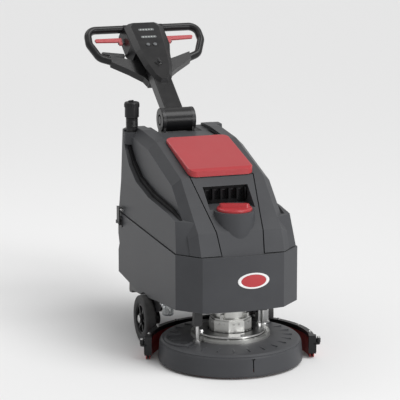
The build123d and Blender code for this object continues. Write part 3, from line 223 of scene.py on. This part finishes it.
def makeWearGroup():
    # finds edges by comparing the rounded normal with the true one, broken up by noise
    group, given, out = startGroup(
        "edgeWear",
        [("Radius", "NodeSocketFloat", 0.0012), ("Strength", "NodeSocketFloat", 3.0),
         ("Break Up", "NodeSocketFloat", 60.0)],
        [("Mask", "NodeSocketFloat")])
    rounded = group.nodes.new("ShaderNodeBevel")
    rounded.samples = 4
    group.links.new(given.outputs["Radius"], rounded.inputs["Radius"])
    surface = group.nodes.new("ShaderNodeNewGeometry")
    dot = group.nodes.new("ShaderNodeVectorMath")
    dot.operation = "DOT_PRODUCT"
    group.links.new(rounded.outputs["Normal"], dot.inputs[0])
    group.links.new(surface.outputs["Normal"], dot.inputs[1])
    away = mathNode(group, "SUBTRACT", 1.0, dot.outputs["Value"], clamp=True)
    place = group.nodes.new("ShaderNodeTexCoord")
    noise = group.nodes.new("ShaderNodeTexNoise")
    noise.inputs["Detail"].default_value = 4.0
    group.links.new(place.outputs["Object"], noise.inputs["Vector"])
    group.links.new(given.outputs["Break Up"], noise.inputs["Scale"])
    strong = mathNode(group, "MULTIPLY", away, given.outputs["Strength"])
    broken = mathNode(group, "MULTIPLY", strong, noise.outputs["Fac"], clamp=True)
    group.links.new(broken, out.inputs["Mask"])
    return group


def makeDustGroup():
    # light dust that settles on faces looking up
    group, given, out = startGroup(
        "settledDust",
        [("Amount", "NodeSocketFloat", 0.1), ("Patch Scale", "NodeSocketFloat", 25.0)],
        [("Mask", "NodeSocketFloat")])
    surface = group.nodes.new("ShaderNodeNewGeometry")
    parts = group.nodes.new("ShaderNodeSeparateXYZ")
    group.links.new(surface.outputs["Normal"], parts.inputs[0])
    upward = mathNode(group, "MAXIMUM", parts.outputs["Z"], 0.0)
    place = group.nodes.new("ShaderNodeTexCoord")
    noise = group.nodes.new("ShaderNodeTexNoise")
    noise.inputs["Detail"].default_value = 6.0
    group.links.new(place.outputs["Object"], noise.inputs["Vector"])
    group.links.new(given.outputs["Patch Scale"], noise.inputs["Scale"])
    patch = mathNode(group, "MULTIPLY", upward, noise.outputs["Fac"])
    settled = mathNode(group, "MULTIPLY", patch, given.outputs["Amount"], clamp=True)
    group.links.new(settled, out.inputs["Mask"])
    return group


def makeBrushedGroup():
    # long streaks for turned and brushed metal
    group, given, out = startGroup(
        "brushedStreaks",
        [("Streak Scale", "NodeSocketFloat", 40.0), ("Stretch", "NodeSocketVector", (1.0, 1.0, 25.0))],
        [("Height", "NodeSocketFloat"), ("Tone", "NodeSocketFloat")])
    place = group.nodes.new("ShaderNodeTexCoord")
    squeeze = group.nodes.new("ShaderNodeVectorMath")
    squeeze.operation = "MULTIPLY"
    group.links.new(place.outputs["Object"], squeeze.inputs[0])
    group.links.new(given.outputs["Stretch"], squeeze.inputs[1])
    streak = group.nodes.new("ShaderNodeTexNoise")
    streak.inputs["Detail"].default_value = 6.0
    streak.inputs["Roughness"].default_value = 0.7
    group.links.new(squeeze.outputs[0], streak.inputs["Vector"])
    group.links.new(given.outputs["Streak Scale"], streak.inputs["Scale"])
    group.links.new(streak.outputs["Fac"], out.inputs["Height"])
    group.links.new(streak.outputs["Fac"], out.inputs["Tone"])
    return group


grainGroup = makeGrainGroup()
wearGroup = makeWearGroup()
dustGroup = makeDustGroup()
brushedGroup = makeBrushedGroup()
print("shader groups ready")


def placeGroup(tree, group, values):
    node = tree.nodes.new("ShaderNodeGroup")
    node.node_tree = group
    for label, value in values.items():
        node.inputs[label].default_value = value
    return node


def blendColour(tree, mask, below, above):
    node = tree.nodes.new("ShaderNodeMix")
    node.data_type = "RGBA"
    tree.links.new(mask, node.inputs["Factor"])
    for socket, value in ((node.inputs[6], below), (node.inputs[7], above)):
        if isinstance(value, tuple):
            socket.default_value = (*value, 1.0)
        else:
            tree.links.new(value, socket)
    return node.outputs[2]


def spreadValue(tree, mask, low, high):
    node = tree.nodes.new("ShaderNodeMapRange")
    node.inputs["To Min"].default_value = low
    node.inputs["To Max"].default_value = high
    tree.links.new(mask, node.inputs["Value"])
    return node.outputs["Result"]


def finishMaterial(name, look):
    # look: dark, light, edge and dust colours, roughness range, metallic, grain and wear settings
    material = bpy.data.materials.new(name)
    material.use_nodes = True
    tree = material.node_tree
    shader = tree.nodes["Principled BSDF"]
    if look.get("streaks"):
        texture = placeGroup(tree, brushedGroup, look["streaks"])
    else:
        texture = placeGroup(tree, grainGroup, look["grain"])
    colour = blendColour(tree, texture.outputs["Tone"], look["dark"], look["light"])
    if look.get("wear"):
        wear = placeGroup(tree, wearGroup, look["wear"])
        colour = blendColour(tree, wear.outputs["Mask"], colour, look["edge"])
    if look.get("dust"):
        dust = placeGroup(tree, dustGroup, look["dust"])
        colour = blendColour(tree, dust.outputs["Mask"], colour, look.get("dustColour", (0.42, 0.41, 0.39)))
    tree.links.new(colour, shader.inputs["Base Color"])
    tree.links.new(spreadValue(tree, texture.outputs["Tone"], *look["roughness"]),
                   shader.inputs["Roughness"])
    bump = tree.nodes.new("ShaderNodeBump")
    bump.inputs["Strength"].default_value = look.get("bump", 0.15)
    bump.inputs["Distance"].default_value = look.get("bumpDepth", 0.0003)
    tree.links.new(texture.outputs["Height"], bump.inputs["Height"])
    tree.links.new(bump.outputs["Normal"], shader.inputs["Normal"])
    shader.inputs["Metallic"].default_value = look.get("metallic", 0.0)
    shader.inputs["Coat Weight"].default_value = look.get("coat", 0.0)
    shader.inputs["Coat Roughness"].default_value = look.get("coatRoughness", 0.2)
    shader.inputs["Transmission Weight"].default_value = look.get("transmission", 0.0)
    shader.inputs["IOR"].default_value = look.get("ior", 1.46)
    shader.inputs["Sheen Weight"].default_value = look.get("sheen", 0.0)
    return material


plasticGrain = {"Grain Scale": 1300.0, "Tone Scale": 7.0, "Tone Depth": 1.0}
smallWear = {"Radius": 0.0012, "Strength": 2.2, "Break Up": 70.0}
looks = {
    "body_grey": {"dark": (0.050, 0.051, 0.055), "light": (0.070, 0.072, 0.077),
                  "edge": (0.19, 0.195, 0.205),
                  "roughness": (0.32, 0.42), "grain": plasticGrain, "wear": smallWear, "bump": 0.12,
                  "ior": 1.2,
                  "dust": {"Amount": 0.05, "Patch Scale": 18.0}},
    "trim_black": {"dark": (0.007, 0.007, 0.008), "light": (0.014, 0.014, 0.015), "edge": (0.06, 0.06, 0.06),
                   "ior": 1.36, "roughness": (0.24, 0.34), "grain": plasticGrain, "wear": smallWear,
                   "bump": 0.15,
                   "dust": {"Amount": 0.06, "Patch Scale": 30.0}},
    "red_plastic": {"dark": (0.36, 0.018, 0.024), "light": (0.46, 0.028, 0.036), "edge": (0.75, 0.20, 0.20),
                    "roughness": (0.30, 0.40), "grain": {"Grain Scale": 700.0, "Tone Scale": 5.0,
                                                         "Tone Depth": 0.7},
                    "wear": smallWear, "bump": 0.06, "coat": 0.25, "coatRoughness": 0.3,
                    "dust": {"Amount": 0.04, "Patch Scale": 22.0}},
    "seal_rubber": {"dark": (0.012, 0.012, 0.012), "light": (0.022, 0.021, 0.021), "roughness": (0.7, 0.85),
                    "grain": plasticGrain, "bump": 0.25},
    "blade_rubber": {"dark": (0.30, 0.030, 0.030), "light": (0.42, 0.050, 0.045), "edge": (0.5, 0.2, 0.18),
                     "roughness": (0.5, 0.65), "grain": {"Grain Scale": 500.0, "Tone Scale": 20.0,
                                                         "Tone Depth": 1.0},
                     "wear": smallWear, "bump": 0.2},
    "tyre_rubber": {"dark": (0.018, 0.018, 0.019), "light": (0.032, 0.032, 0.033),
                    "edge": (0.10, 0.10, 0.10),
                    "roughness": (0.55, 0.75), "grain": {"Grain Scale": 900.0, "Tone Scale": 30.0,
                                                         "Tone Depth": 1.3},
                    "wear": smallWear, "bump": 0.3, "dust": {"Amount": 0.25, "Patch Scale": 40.0}},
    "frame_steel": {"dark": (0.016, 0.016, 0.017), "light": (0.026, 0.026, 0.028),
                    "edge": (0.25, 0.24, 0.23),
                    "roughness": (0.32, 0.45), "grain": {"Grain Scale": 420.0, "Tone Scale": 12.0,
                                                         "Tone Depth": 1.0},
                    "wear": {"Radius": 0.0010, "Strength": 2.8, "Break Up": 90.0}, "bump": 0.18},
    "bright_steel": {"dark": (0.46, 0.46, 0.46), "light": (0.66, 0.66, 0.65), "edge": (0.85, 0.85, 0.85),
                     "roughness": (0.22, 0.40), "metallic": 1.0, "wear": smallWear, "bump": 0.10,
                     "streaks": {"Streak Scale": 60.0, "Stretch": (1.0, 1.0, 18.0)}},
    "cast_aluminium": {"dark": (0.50, 0.50, 0.48), "light": (0.70, 0.70, 0.68), "edge": (0.88, 0.88, 0.87),
                       "roughness": (0.30, 0.48), "metallic": 1.0, "wear": smallWear, "bump": 0.22,
                       "streaks": {"Streak Scale": 90.0, "Stretch": (1.0, 1.0, 6.0)}},
    "pad_fabric": {"dark": (0.20, 0.020, 0.020), "light": (0.38, 0.055, 0.050), "roughness": (0.85, 0.98),
                   "grain": {"Grain Scale": 260.0, "Tone Scale": 90.0, "Tone Depth": 2.0}, "bump": 0.9,
                   "bumpDepth": 0.002, "sheen": 0.3},
    "battery_case": {"dark": (0.045, 0.047, 0.055), "light": (0.065, 0.067, 0.075),
                     "edge": (0.16, 0.16, 0.17),
                     "roughness": (0.42, 0.55), "grain": plasticGrain, "wear": smallWear, "bump": 0.15},
    "lens_clear": {"dark": (0.78, 0.82, 0.84), "light": (0.88, 0.91, 0.92), "roughness": (0.06, 0.14),
                   "grain": {"Grain Scale": 200.0, "Tone Scale": 14.0, "Tone Depth": 1.0}, "bump": 0.03,
                   "transmission": 0.92, "ior": 1.49},
    "lens_panel": {"dark": (0.10, 0.105, 0.11), "light": (0.16, 0.165, 0.17), "edge": (0.30, 0.31, 0.32),
                   "roughness": (0.25, 0.35), "grain": {"Grain Scale": 600.0, "Tone Scale": 40.0,
                                                        "Tone Depth": 0.8},
                   "wear": smallWear, "bump": 0.05},
    "board_green": {"dark": (0.020, 0.14, 0.055), "light": (0.035, 0.22, 0.09), "roughness": (0.35, 0.5),
                    "grain": {"Grain Scale": 300.0, "Tone Scale": 160.0, "Tone Depth": 1.6}, "bump": 0.1},
    # painted shade: this near-black, low-reflecting finish stands for the shade in the swoosh groove, the
    # vent recess and the step beside the rear deck rails
    "inlay_dark": {"dark": (0.008, 0.008, 0.009), "light": (0.014, 0.014, 0.015), "edge": (0.05, 0.05, 0.05),
                   "ior": 1.2,
                   "roughness": (0.5, 0.62), "grain": plasticGrain, "wear": smallWear, "bump": 0.2},
    "panel_lamp": {"dark": (0.30, 0.32, 0.30), "light": (0.42, 0.45, 0.42), "roughness": (0.15, 0.25),
                   "grain": {"Grain Scale": 600.0, "Tone Scale": 60.0, "Tone Depth": 0.8}, "bump": 0.04,
                   "coat": 0.5},
    "badge_white": {"dark": (0.72, 0.72, 0.72), "light": (0.80, 0.80, 0.80), "roughness": (0.25, 0.35),
                    "grain": {"Grain Scale": 600.0, "Tone Scale": 30.0, "Tone Depth": 0.6}, "bump": 0.03,
                    "coat": 0.4},
}
finishes = {name: finishMaterial(name, look) for name, look in looks.items()}
# the swoosh inlays and the vent grille get the near-black finish as painted shade for the shadowed swoosh
# groove and vent recess
nodeFinish = {"swoosh_inlays": "inlay_dark", "vent_grille": "inlay_dark", "flow_lever": "trim_black",
              "key_switch": "frame_steel", "latch_lever_left": "frame_steel",
              "latch_lever_right": "frame_steel",
              "latch_bases": "frame_steel"}
for entry in frame["record"]["subparts"]:
    node = frame["nodes"][entry["node"]]
    finish = finishes[nodeFinish.get(entry["node"], entry["material_slot"])]
    if not node.material_slots:
        node.data.materials.append(finish)
    for holder in node.material_slots:
        holder.material = finish
print("finishes on every node")


# plain oval badge, bent to the tank front: pale rim round a red field
badge = {"centre": (0.030, 0.303), "half": (0.0545, 0.0265), "rim": 0.80, "bendRadius": 0.6515,
         "bendCentre": 0.5015,
         "proud": 0.0018, "sides": 72}


def tankFront(x):
    return badge["bendCentre"] - math.sqrt(badge["bendRadius"] ** 2 - x ** 2)


def badgeRing(mesh, levels):
    # levels: (share of the half size, height above the tank)
    rings = []
    for share, height in levels:
        ring = []
        for step in range(badge["sides"]):
            angle = math.tau * step / badge["sides"]
            x = badge["centre"][0] + badge["half"][0] * share * math.cos(angle)
            z = badge["centre"][1] + badge["half"][1] * share * math.sin(angle)
            ring.append(mesh.verts.new((x, tankFront(x) - height, z)))
        rings.append(ring)
    for low, high in zip(rings, rings[1:]):
        for step in range(badge["sides"]):
            after = (step + 1) % badge["sides"]
            mesh.faces.new((low[step], low[after], high[after], high[step]))
    return rings


mesh = bmesh.new()
rim = badge["rim"]
proud = badge["proud"]
badgeRing(mesh, [(1.0, 0.0), (1.0, proud * 0.6), (0.98, proud), (rim + 0.02, proud), (rim, proud * 0.7),
                 (rim, 0.0),
                 (1.0, 0.0)])
badgeRim = piece("badgeRim", mesh, finishes["badge_white"], "chassis")
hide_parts("front_badge")
mesh = bmesh.new()
rings = badgeRing(mesh, [(rim - 0.01, 0.0), (rim - 0.01, proud * 0.7), (rim * 0.7, proud * 0.85),
                         (rim * 0.35, proud * 0.95), (0.02, proud)])
mesh.faces.new(rings[-1])
mesh.faces.new(list(reversed(rings[0])))
piece("badgeField", mesh, finishes["red_plastic"], "chassis")

# screws that hold the wheel brackets, and the caps over the axle ends
wheelFittings = {"plateX": 0.1894, "axle": (0.290, 0.081), "endX": 0.2304,
                 "screws": [(0.165, 0.165), (0.322, 0.158)],
                 "boltRadius": 0.0050, "boltHeight": 0.0040, "boltSpin": 0.3,
                 "cap": [(0.0135, -0.001), (0.0135, 0.001), (0.011, 0.0028), (0.006, 0.0034), (0, 0.0036)]}
mesh = bmesh.new()
for side in (-1, 1):
    for y, z in wheelFittings["screws"]:
        hexBolt(mesh, (side * wheelFittings["plateX"], y, z), (side, 0, 0), wheelFittings["boltRadius"],
                wheelFittings["boltHeight"], wheelFittings["boltSpin"])
    capPlace = alongAxis((side * wheelFittings["endX"], *wheelFittings["axle"]), (side, 0, 0))
    latheInto(mesh, wheelFittings["cap"], capPlace, 28)
piece("wheelFittings", mesh, finishes["bright_steel"], "chassis")

# fine screen inside the strainer bowl
strainer = {"centre": (-0.180, 0.117), "low": 0.141, "high": 0.164, "radius": 0.0145, "wires": 20,
            "hoops": 7,
            "hoopSides": 28, "hoopWire": 0.0007, "uprightWire": 0.0006}
mesh = bmesh.new()
for index in range(strainer["hoops"]):
    height = strainer["low"] + (strainer["high"] - strainer["low"]) * index / (strainer["hoops"] - 1)
    ring = []
    for step in range(strainer["hoopSides"]):
        angle = math.tau * step / strainer["hoopSides"]
        ring.append((strainer["centre"][0] + strainer["radius"] * math.cos(angle),
                     strainer["centre"][1] + strainer["radius"] * math.sin(angle), height))
    tubeInto(mesh, ring, strainer["hoopWire"], 6, closed=True)
for step in range(strainer["wires"]):
    angle = math.tau * step / strainer["wires"]
    x = strainer["centre"][0] + strainer["radius"] * math.cos(angle)
    y = strainer["centre"][1] + strainer["radius"] * math.sin(angle)
    tubeInto(mesh, [(x, y, strainer["low"]), (x, y, strainer["high"])], strainer["uprightWire"], 6)
piece("strainerScreen", mesh, finishes["bright_steel"], "chassis")
print("tank fittings done")


# grip ridges round the filler cap
fillCap = {"centre": (0.0, -0.040), "radius": 0.0572, "low": 0.5182, "high": 0.5232, "ridges": 40,
           "ridgeRadius": 0.0010}
mesh = bmesh.new()
for step in range(fillCap["ridges"]):
    angle = math.tau * step / fillCap["ridges"]
    x = fillCap["centre"][0] + fillCap["radius"] * math.cos(angle)
    y = fillCap["centre"][1] + fillCap["radius"] * math.sin(angle)
    tubeInto(mesh, [(x, y, fillCap["low"]), (x, y, fillCap["high"])], fillCap["ridgeRadius"], 8)
piece("fillCapRidges", mesh, finishes["red_plastic"], "fill_cap")

# corrugations on the drain hose, and ridges on its cap
hose = {"centre": (-0.163, 0.598), "radius": 0.020, "low": 0.6885, "high": 0.7215, "pitch": 0.0046,
        "wave": 0.0016}
mesh = bmesh.new()
profile = []
steps = int((hose["high"] - hose["low"]) / hose["pitch"]) * 6
for step in range(steps + 1):
    height = hose["low"] + (hose["high"] - hose["low"]) * step / steps
    wave = hose["wave"] * (0.5 - 0.5 * math.cos(math.tau * step / 6))
    profile.append((hose["radius"] + 0.0001 + wave, height))
profile = [(hose["radius"] - 0.001, hose["low"])] + profile + [(hose["radius"] - 0.001, hose["high"])]
latheInto(mesh, profile + profile[:1], Matrix.Translation((*hose["centre"], 0)), 40)
piece("hoseCorrugations", mesh, finishes["trim_black"], "recovery", 60)
hoseCap = {"radius": 0.0258, "low": 0.7592, "high": 0.7712, "ridges": 24, "ridgeRadius": 0.0011}
mesh = bmesh.new()
for step in range(hoseCap["ridges"]):
    angle = math.tau * step / hoseCap["ridges"]
    x = hose["centre"][0] + hoseCap["radius"] * math.cos(angle)
    y = hose["centre"][1] + hoseCap["radius"] * math.sin(angle)
    tubeInto(mesh, [(x, y, hoseCap["low"]), (x, y, hoseCap["high"])], hoseCap["ridgeRadius"], 8)
piece("hoseCapRidges", mesh, finishes["trim_black"], "hose_cap")

# dark ribbed strips along both edges of the rear deck: painted shade where the raised side rails step down
# to the deck
deckStepShade = {"edges": (-0.1225, 0.1010), "halfWidth": 0.0035, "front": 0.420, "rear": 0.545, "base": 0.6742,
             "top": 0.6762, "ribs": 9}
length = deckStepShade["rear"] - deckStepShade["front"]
ribReach = deckStepShade["halfWidth"] - 0.0008
mesh = bmesh.new()
for edge in deckStepShade["edges"]:
    blockInto(mesh, (edge - deckStepShade["halfWidth"], deckStepShade["front"], deckStepShade["base"]),
              (edge + deckStepShade["halfWidth"], deckStepShade["rear"], deckStepShade["top"]), 0.0006)
    for index in range(deckStepShade["ribs"]):
        middle = deckStepShade["front"] + length * (index + 0.5) / deckStepShade["ribs"]
        blockInto(mesh, (edge - ribReach, middle - 0.0015, deckStepShade["top"] - 0.0004),
                  (edge + ribReach, middle + 0.0015, deckStepShade["top"] + 0.0006), 0.0003)
piece("deckStepShade", mesh, finishes["inlay_dark"], "recovery")
print("lid and caps done")


handlePost = {"pivot": (0, 0.603, 0.705), "leanBack": 31.5}
leanBack = math.radians(handlePost["leanBack"])
dashPlace = Matrix.Translation(handlePost["pivot"]) @ Matrix.Rotation(leanBack, 4, "X")


def onDash(x, along, above):
    # a point on the dash: along the post, and above it
    return dashPlace @ Vector((x, along, above))


dashNormal = (dashPlace.to_3x3() @ Vector((0, 0, 1)))[:]
dash = {"face": 0.033, "lampRows": (0.456, 0.415), "lampCount": 5, "lampPitch": 0.0105, "buttonRow": 0.372,
        "buttonPitch": 0.026, "key": 0.272,
        "lamp": [(0.0034, -0.0004), (0.0034, 0.0003), (0.0026, 0.0009), (0, 0.0011)],
        "buttonRim": [(0.0075, -0.001), (0.0075, 0.0010), (0.0082, 0.0016), (0.0100, 0.0013), (0.0108, 0.0),
                      (0.0108, -0.001)],
        "keyRim": [(0.0105, -0.001), (0.0105, 0.0022), (0.0115, 0.0030), (0.0138, 0.0022), (0.0148, 0.0),
                   (0.0148, -0.001)]}
mesh = bmesh.new()
for row in dash["lampRows"]:
    for index in range(dash["lampCount"]):
        x = (index - (dash["lampCount"] - 1) / 2) * dash["lampPitch"]
        lampPlace = alongAxis(onDash(x, row, dash["face"] + 0.001), dashNormal)
        latheInto(mesh, dash["lamp"], lampPlace, 18)
piece("panelLamps", mesh, finishes["panel_lamp"], "handle")
mesh = bmesh.new()
for side in (-1, 1):
    ringPlace = alongAxis(onDash(side * dash["buttonPitch"] / 2, dash["buttonRow"], dash["face"]),
                          dashNormal)
    latheInto(mesh, dash["buttonRim"] + dash["buttonRim"][:1], ringPlace, 32)
keyPlace = alongAxis(onDash(0, dash["key"], dash["face"]), dashNormal)
latheInto(mesh, dash["keyRim"] + dash["keyRim"][:1], keyPlace, 36)
piece("dashBezels", mesh, finishes["trim_black"], "handle")
print("dash done")


# bolts round the swivel ring and on the gear motor
deckBolts = {"ringRadius": 0.1235, "ringTop": 0.100, "ringCount": 8, "flangeRadius": 0.0715,
             "flangeTop": 0.098,
             "flangeCount": 8, "motorCorner": 0.070, "motorFaces": 8, "motorRows": (0.108, 0.136),
             "motorSpread": 0.017}
mesh = bmesh.new()
for step in range(deckBolts["ringCount"]):
    angle = math.tau * (step + 0.5) / deckBolts["ringCount"]
    centre = (deckBolts["ringRadius"] * math.cos(angle), deckBolts["ringRadius"] * math.sin(angle),
              deckBolts["ringTop"])
    panScrew(mesh, centre, (0, 0, 1), 0.0036, 0.0018)
for step in range(deckBolts["flangeCount"]):
    angle = math.tau * step / deckBolts["flangeCount"]
    centre = (deckBolts["flangeRadius"] * math.cos(angle), deckBolts["flangeRadius"] * math.sin(angle),
              deckBolts["flangeTop"])
    panScrew(mesh, centre, (0, 0, 1), 0.0030, 0.0022)
for side in range(deckBolts["motorFaces"]):
    angle = math.tau * (side + 0.5) / deckBolts["motorFaces"]
    normal = (math.cos(angle), math.sin(angle), 0)
    reach = deckBolts["motorCorner"] * math.cos(math.pi / deckBolts["motorFaces"]) + 0.0001
    for height in deckBolts["motorRows"]:
        across = Vector((-math.sin(angle), math.cos(angle), 0)) * deckBolts["motorSpread"]
        for share in (-1, 1):
            centre = Vector(normal) * reach + across * share + Vector((0, 0, height))
            panScrew(mesh, centre[:], normal, 0.0028, 0.0016)
piece("deckBolts", mesh, finishes["bright_steel"], "deck")

# raised moulding round the pocket on the left of the deck cover
pocket = {"points": [(-0.160, 0.040), (-0.196, 0.055), (-0.214, 0.028), (-0.218, -0.005), (-0.212, -0.040),
                     (-0.198, -0.068), (-0.176, -0.080), (-0.154, -0.062)], "height": 0.0835,
          "thickness": 0.0060}
mesh = bmesh.new()
path = []
corners = pocket["points"]
for index in range(len(corners) - 1):
    before = Vector(corners[max(index - 1, 0)])
    first = Vector(corners[index])
    second = Vector(corners[index + 1])
    after = Vector(corners[min(index + 2, len(corners) - 1)])
    for step in range(6):
        t = step / 6
        spot = 0.5 * (2 * first + (second - before) * t
                      + (2 * before - 5 * first + 4 * second - after) * t * t
                      + (3 * first - before - 3 * second + after) * t ** 3)
        path.append(spot)
path.append(Vector(corners[-1]))


def coverTop(radius):
    # height of the sloping deck cover at this radius
    knots = [(0.142, 0.088), (0.212, 0.081), (0.226, 0.079), (0.232, 0.074)]
    for (nearRadius, nearTop), (farRadius, farTop) in zip(knots, knots[1:]):
        if radius <= farRadius:
            return nearTop + (farTop - nearTop) * (radius - nearRadius) / (farRadius - nearRadius)
    return knots[-1][1]


tubeInto(mesh, [(spot.x, spot.y, coverTop(spot.length) + 0.001) for spot in path], pocket["thickness"], 14)
piece("deckPocketRim", mesh, finishes["body_grey"], "deck", 60)
print("deck done")


squeegee = {"radius": 0.273, "middle": 74.5, "span": 176.0, "topScrews": 9, "screwRadius": 0.0046,
            "screwMargin": 16,
            "ribAngles": (0.8, 1.7, 2.6, 3.4), "ribReach": 0.0118}
mesh = bmesh.new()
for index in range(squeegee["topScrews"]):
    share = index / (squeegee["topScrews"] - 1) - 0.5
    angle = math.radians(squeegee["middle"] + share * (squeegee["span"] - squeegee["screwMargin"]))
    reach = squeegee["radius"] - 0.0015
    if abs(index - (squeegee["topScrews"] - 1) / 2) < 0.6:
        continue
    hexBolt(mesh, (reach * math.cos(angle), reach * math.sin(angle), 0.078), (0, 0, 1),
            squeegee["screwRadius"], 0.0042,
            angle)
for turn, end in ((-1, squeegee["middle"] - squeegee["span"] / 2),
                  (1, squeegee["middle"] + squeegee["span"] / 2)):
    angle = math.radians(end + turn * 2.4)
    reach = squeegee["radius"] + 0.020
    hexBolt(mesh, (reach * math.cos(angle), reach * math.sin(angle), 0.072), (0, 0, 1),
            squeegee["screwRadius"], 0.0040,
            angle)
piece("squeegeeScrews", mesh, finishes["bright_steel"], "squeegee")

mesh = bmesh.new()
for turn, end in ((-1, squeegee["middle"] - squeegee["span"] / 2),
                  (1, squeegee["middle"] + squeegee["span"] / 2)):
    for share in squeegee["ribAngles"]:
        angle = math.radians(end + turn * share)
        outward = Vector((math.cos(angle), math.sin(angle), 0))
        ribCentre = outward * (squeegee["radius"] + squeegee["ribReach"])
        place = Matrix.Translation(ribCentre) @ Matrix.Rotation(angle, 4, "Z")
        blockInto(mesh, (-0.001, -0.0012, 0.022), (0.0016, 0.0012, 0.047), 0.0005, place)
piece("squeegeeEndRibs", mesh, finishes["trim_black"], "squeegee")
print("squeegee done")


# open fibre pad with a soft uneven rim; stands for the plain disc
pad = {"radius": 0.2125, "thickness": 0.0258, "fluff": 0.0006, "rings": 26, "sides": 180}
mesh = bmesh.new()
profile = [(0, 0.0002)]
for ring in range(1, pad["rings"]):
    profile.append(((pad["radius"] - 0.004) * ring / (pad["rings"] - 1), 0.0002))
profile += [(pad["radius"] - 0.001, 0.003), (pad["radius"], 0.008), (pad["radius"] - 0.0006, 0.014),
            (pad["radius"], 0.019), (pad["radius"] - 0.001, 0.0235),
            (pad["radius"] - 0.004, pad["thickness"]),
            (0, pad["thickness"])]
latheInto(mesh, profile, Matrix.Identity(4), pad["sides"])
for index, vertex in enumerate(mesh.verts):
    reach = math.hypot(vertex.co.x, vertex.co.y)
    if reach > 0.001 and vertex.co.z < pad["thickness"] - 0.002:
        wobble = math.sin(index * 12.9898) * 43758.5453
        wobble -= math.floor(wobble)
        shrink = 1 - pad["fluff"] * wobble / reach
        vertex.co.x *= shrink
        vertex.co.y *= shrink
        vertex.co.z += pad["fluff"] * wobble
padPiece = piece("fibrePad", mesh, finishes["pad_fabric"], "pad", 60)
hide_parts("scrub_pad")
print("pad done")


stage = {"floorSize": 60.0, "floorColour": (0.80, 0.80, 0.80), "skyColour": (1.0, 1.0, 1.0),
         "skyStrength": 0.50}
mesh = bmesh.new()
half = stage["floorSize"] / 2
corners = [mesh.verts.new((x, y, 0)) for x, y in ((-half, -half), (half, -half), (half, half),
                                                  (-half, half))]
mesh.faces.new(corners)
floorData = bpy.data.meshes.new("studioFloor")
mesh.to_mesh(floorData)
mesh.free()
studioFloor = bpy.data.objects.new("studioFloor", floorData)
bpy.context.scene.collection.objects.link(studioFloor)
floorMaterial = bpy.data.materials.new("palePaper")
floorMaterial.use_nodes = True
floorMaterial.node_tree.nodes["Principled BSDF"].inputs["Base Color"].default_value = (*stage["floorColour"],
                                                                                       1.0)
floorMaterial.node_tree.nodes["Principled BSDF"].inputs["Roughness"].default_value = 0.9
floorData.materials.append(floorMaterial)

world = bpy.data.worlds.new("paleStudio")
world.use_nodes = True
world.node_tree.nodes["Background"].inputs["Color"].default_value = (*stage["skyColour"], 1.0)
world.node_tree.nodes["Background"].inputs["Strength"].default_value = stage["skyStrength"]
bpy.context.scene.world = world

lamps = {
    "softSun": {"at": (2.0, -1.6, 4.6), "aim": (0.0, 0.3, 0.4), "size": 0.7, "power": 1.85, "kind": "SUN"},
    "topStrip": {"at": (-0.8, 1.9, 2.6), "aim": (0.0, 0.3, 0.6), "size": 1.2, "power": 9.0, "kind": "AREA"},
    "frontRight": {"at": (1.9, -3.4, 1.3), "aim": (0.0, 0.1, 0.4), "size": 1.2, "power": 46.0,
                   "kind": "AREA"},
}
for name, lamp in lamps.items():
    light = bpy.data.lights.new(name, lamp["kind"])
    if lamp["kind"] == "SUN":
        light.angle = lamp["size"]
    else:
        light.size = lamp["size"]
    light.energy = lamp["power"]
    holder = bpy.data.objects.new(name, light)
    holder.location = lamp["at"]
    toward = Vector(lamp["aim"]) - Vector(lamp["at"])
    holder.rotation_euler = toward.to_track_quat("-Z", "Y").to_euler()
    bpy.context.scene.collection.objects.link(holder)

camera = {"at": (-2.2282, -6.6602, 2.0938), "right": (0.95270, -0.30392, -0.00087),
          "up": (0.06641, 0.20538, 0.97643),
          "lens": 197.88, "sensor": 36.0}
cameraData = bpy.data.cameras.new("viewCamera")
cameraData.lens = camera["lens"]
cameraData.sensor_width = camera["sensor"]
cameraData.clip_end = 60.0
viewCamera = bpy.data.objects.new("viewCamera", cameraData)
right = Vector(camera["right"]).normalized()
up = Vector(camera["up"]).normalized()
back = right.cross(up)
turned = Matrix((right, up, back)).transposed().to_4x4()
viewCamera.matrix_world = Matrix.Translation(camera["at"]) @ turned
bpy.context.scene.collection.objects.link(viewCamera)
bpy.context.scene.camera = viewCamera
bpy.context.scene.view_settings.view_transform = "Standard"
print("stage done")
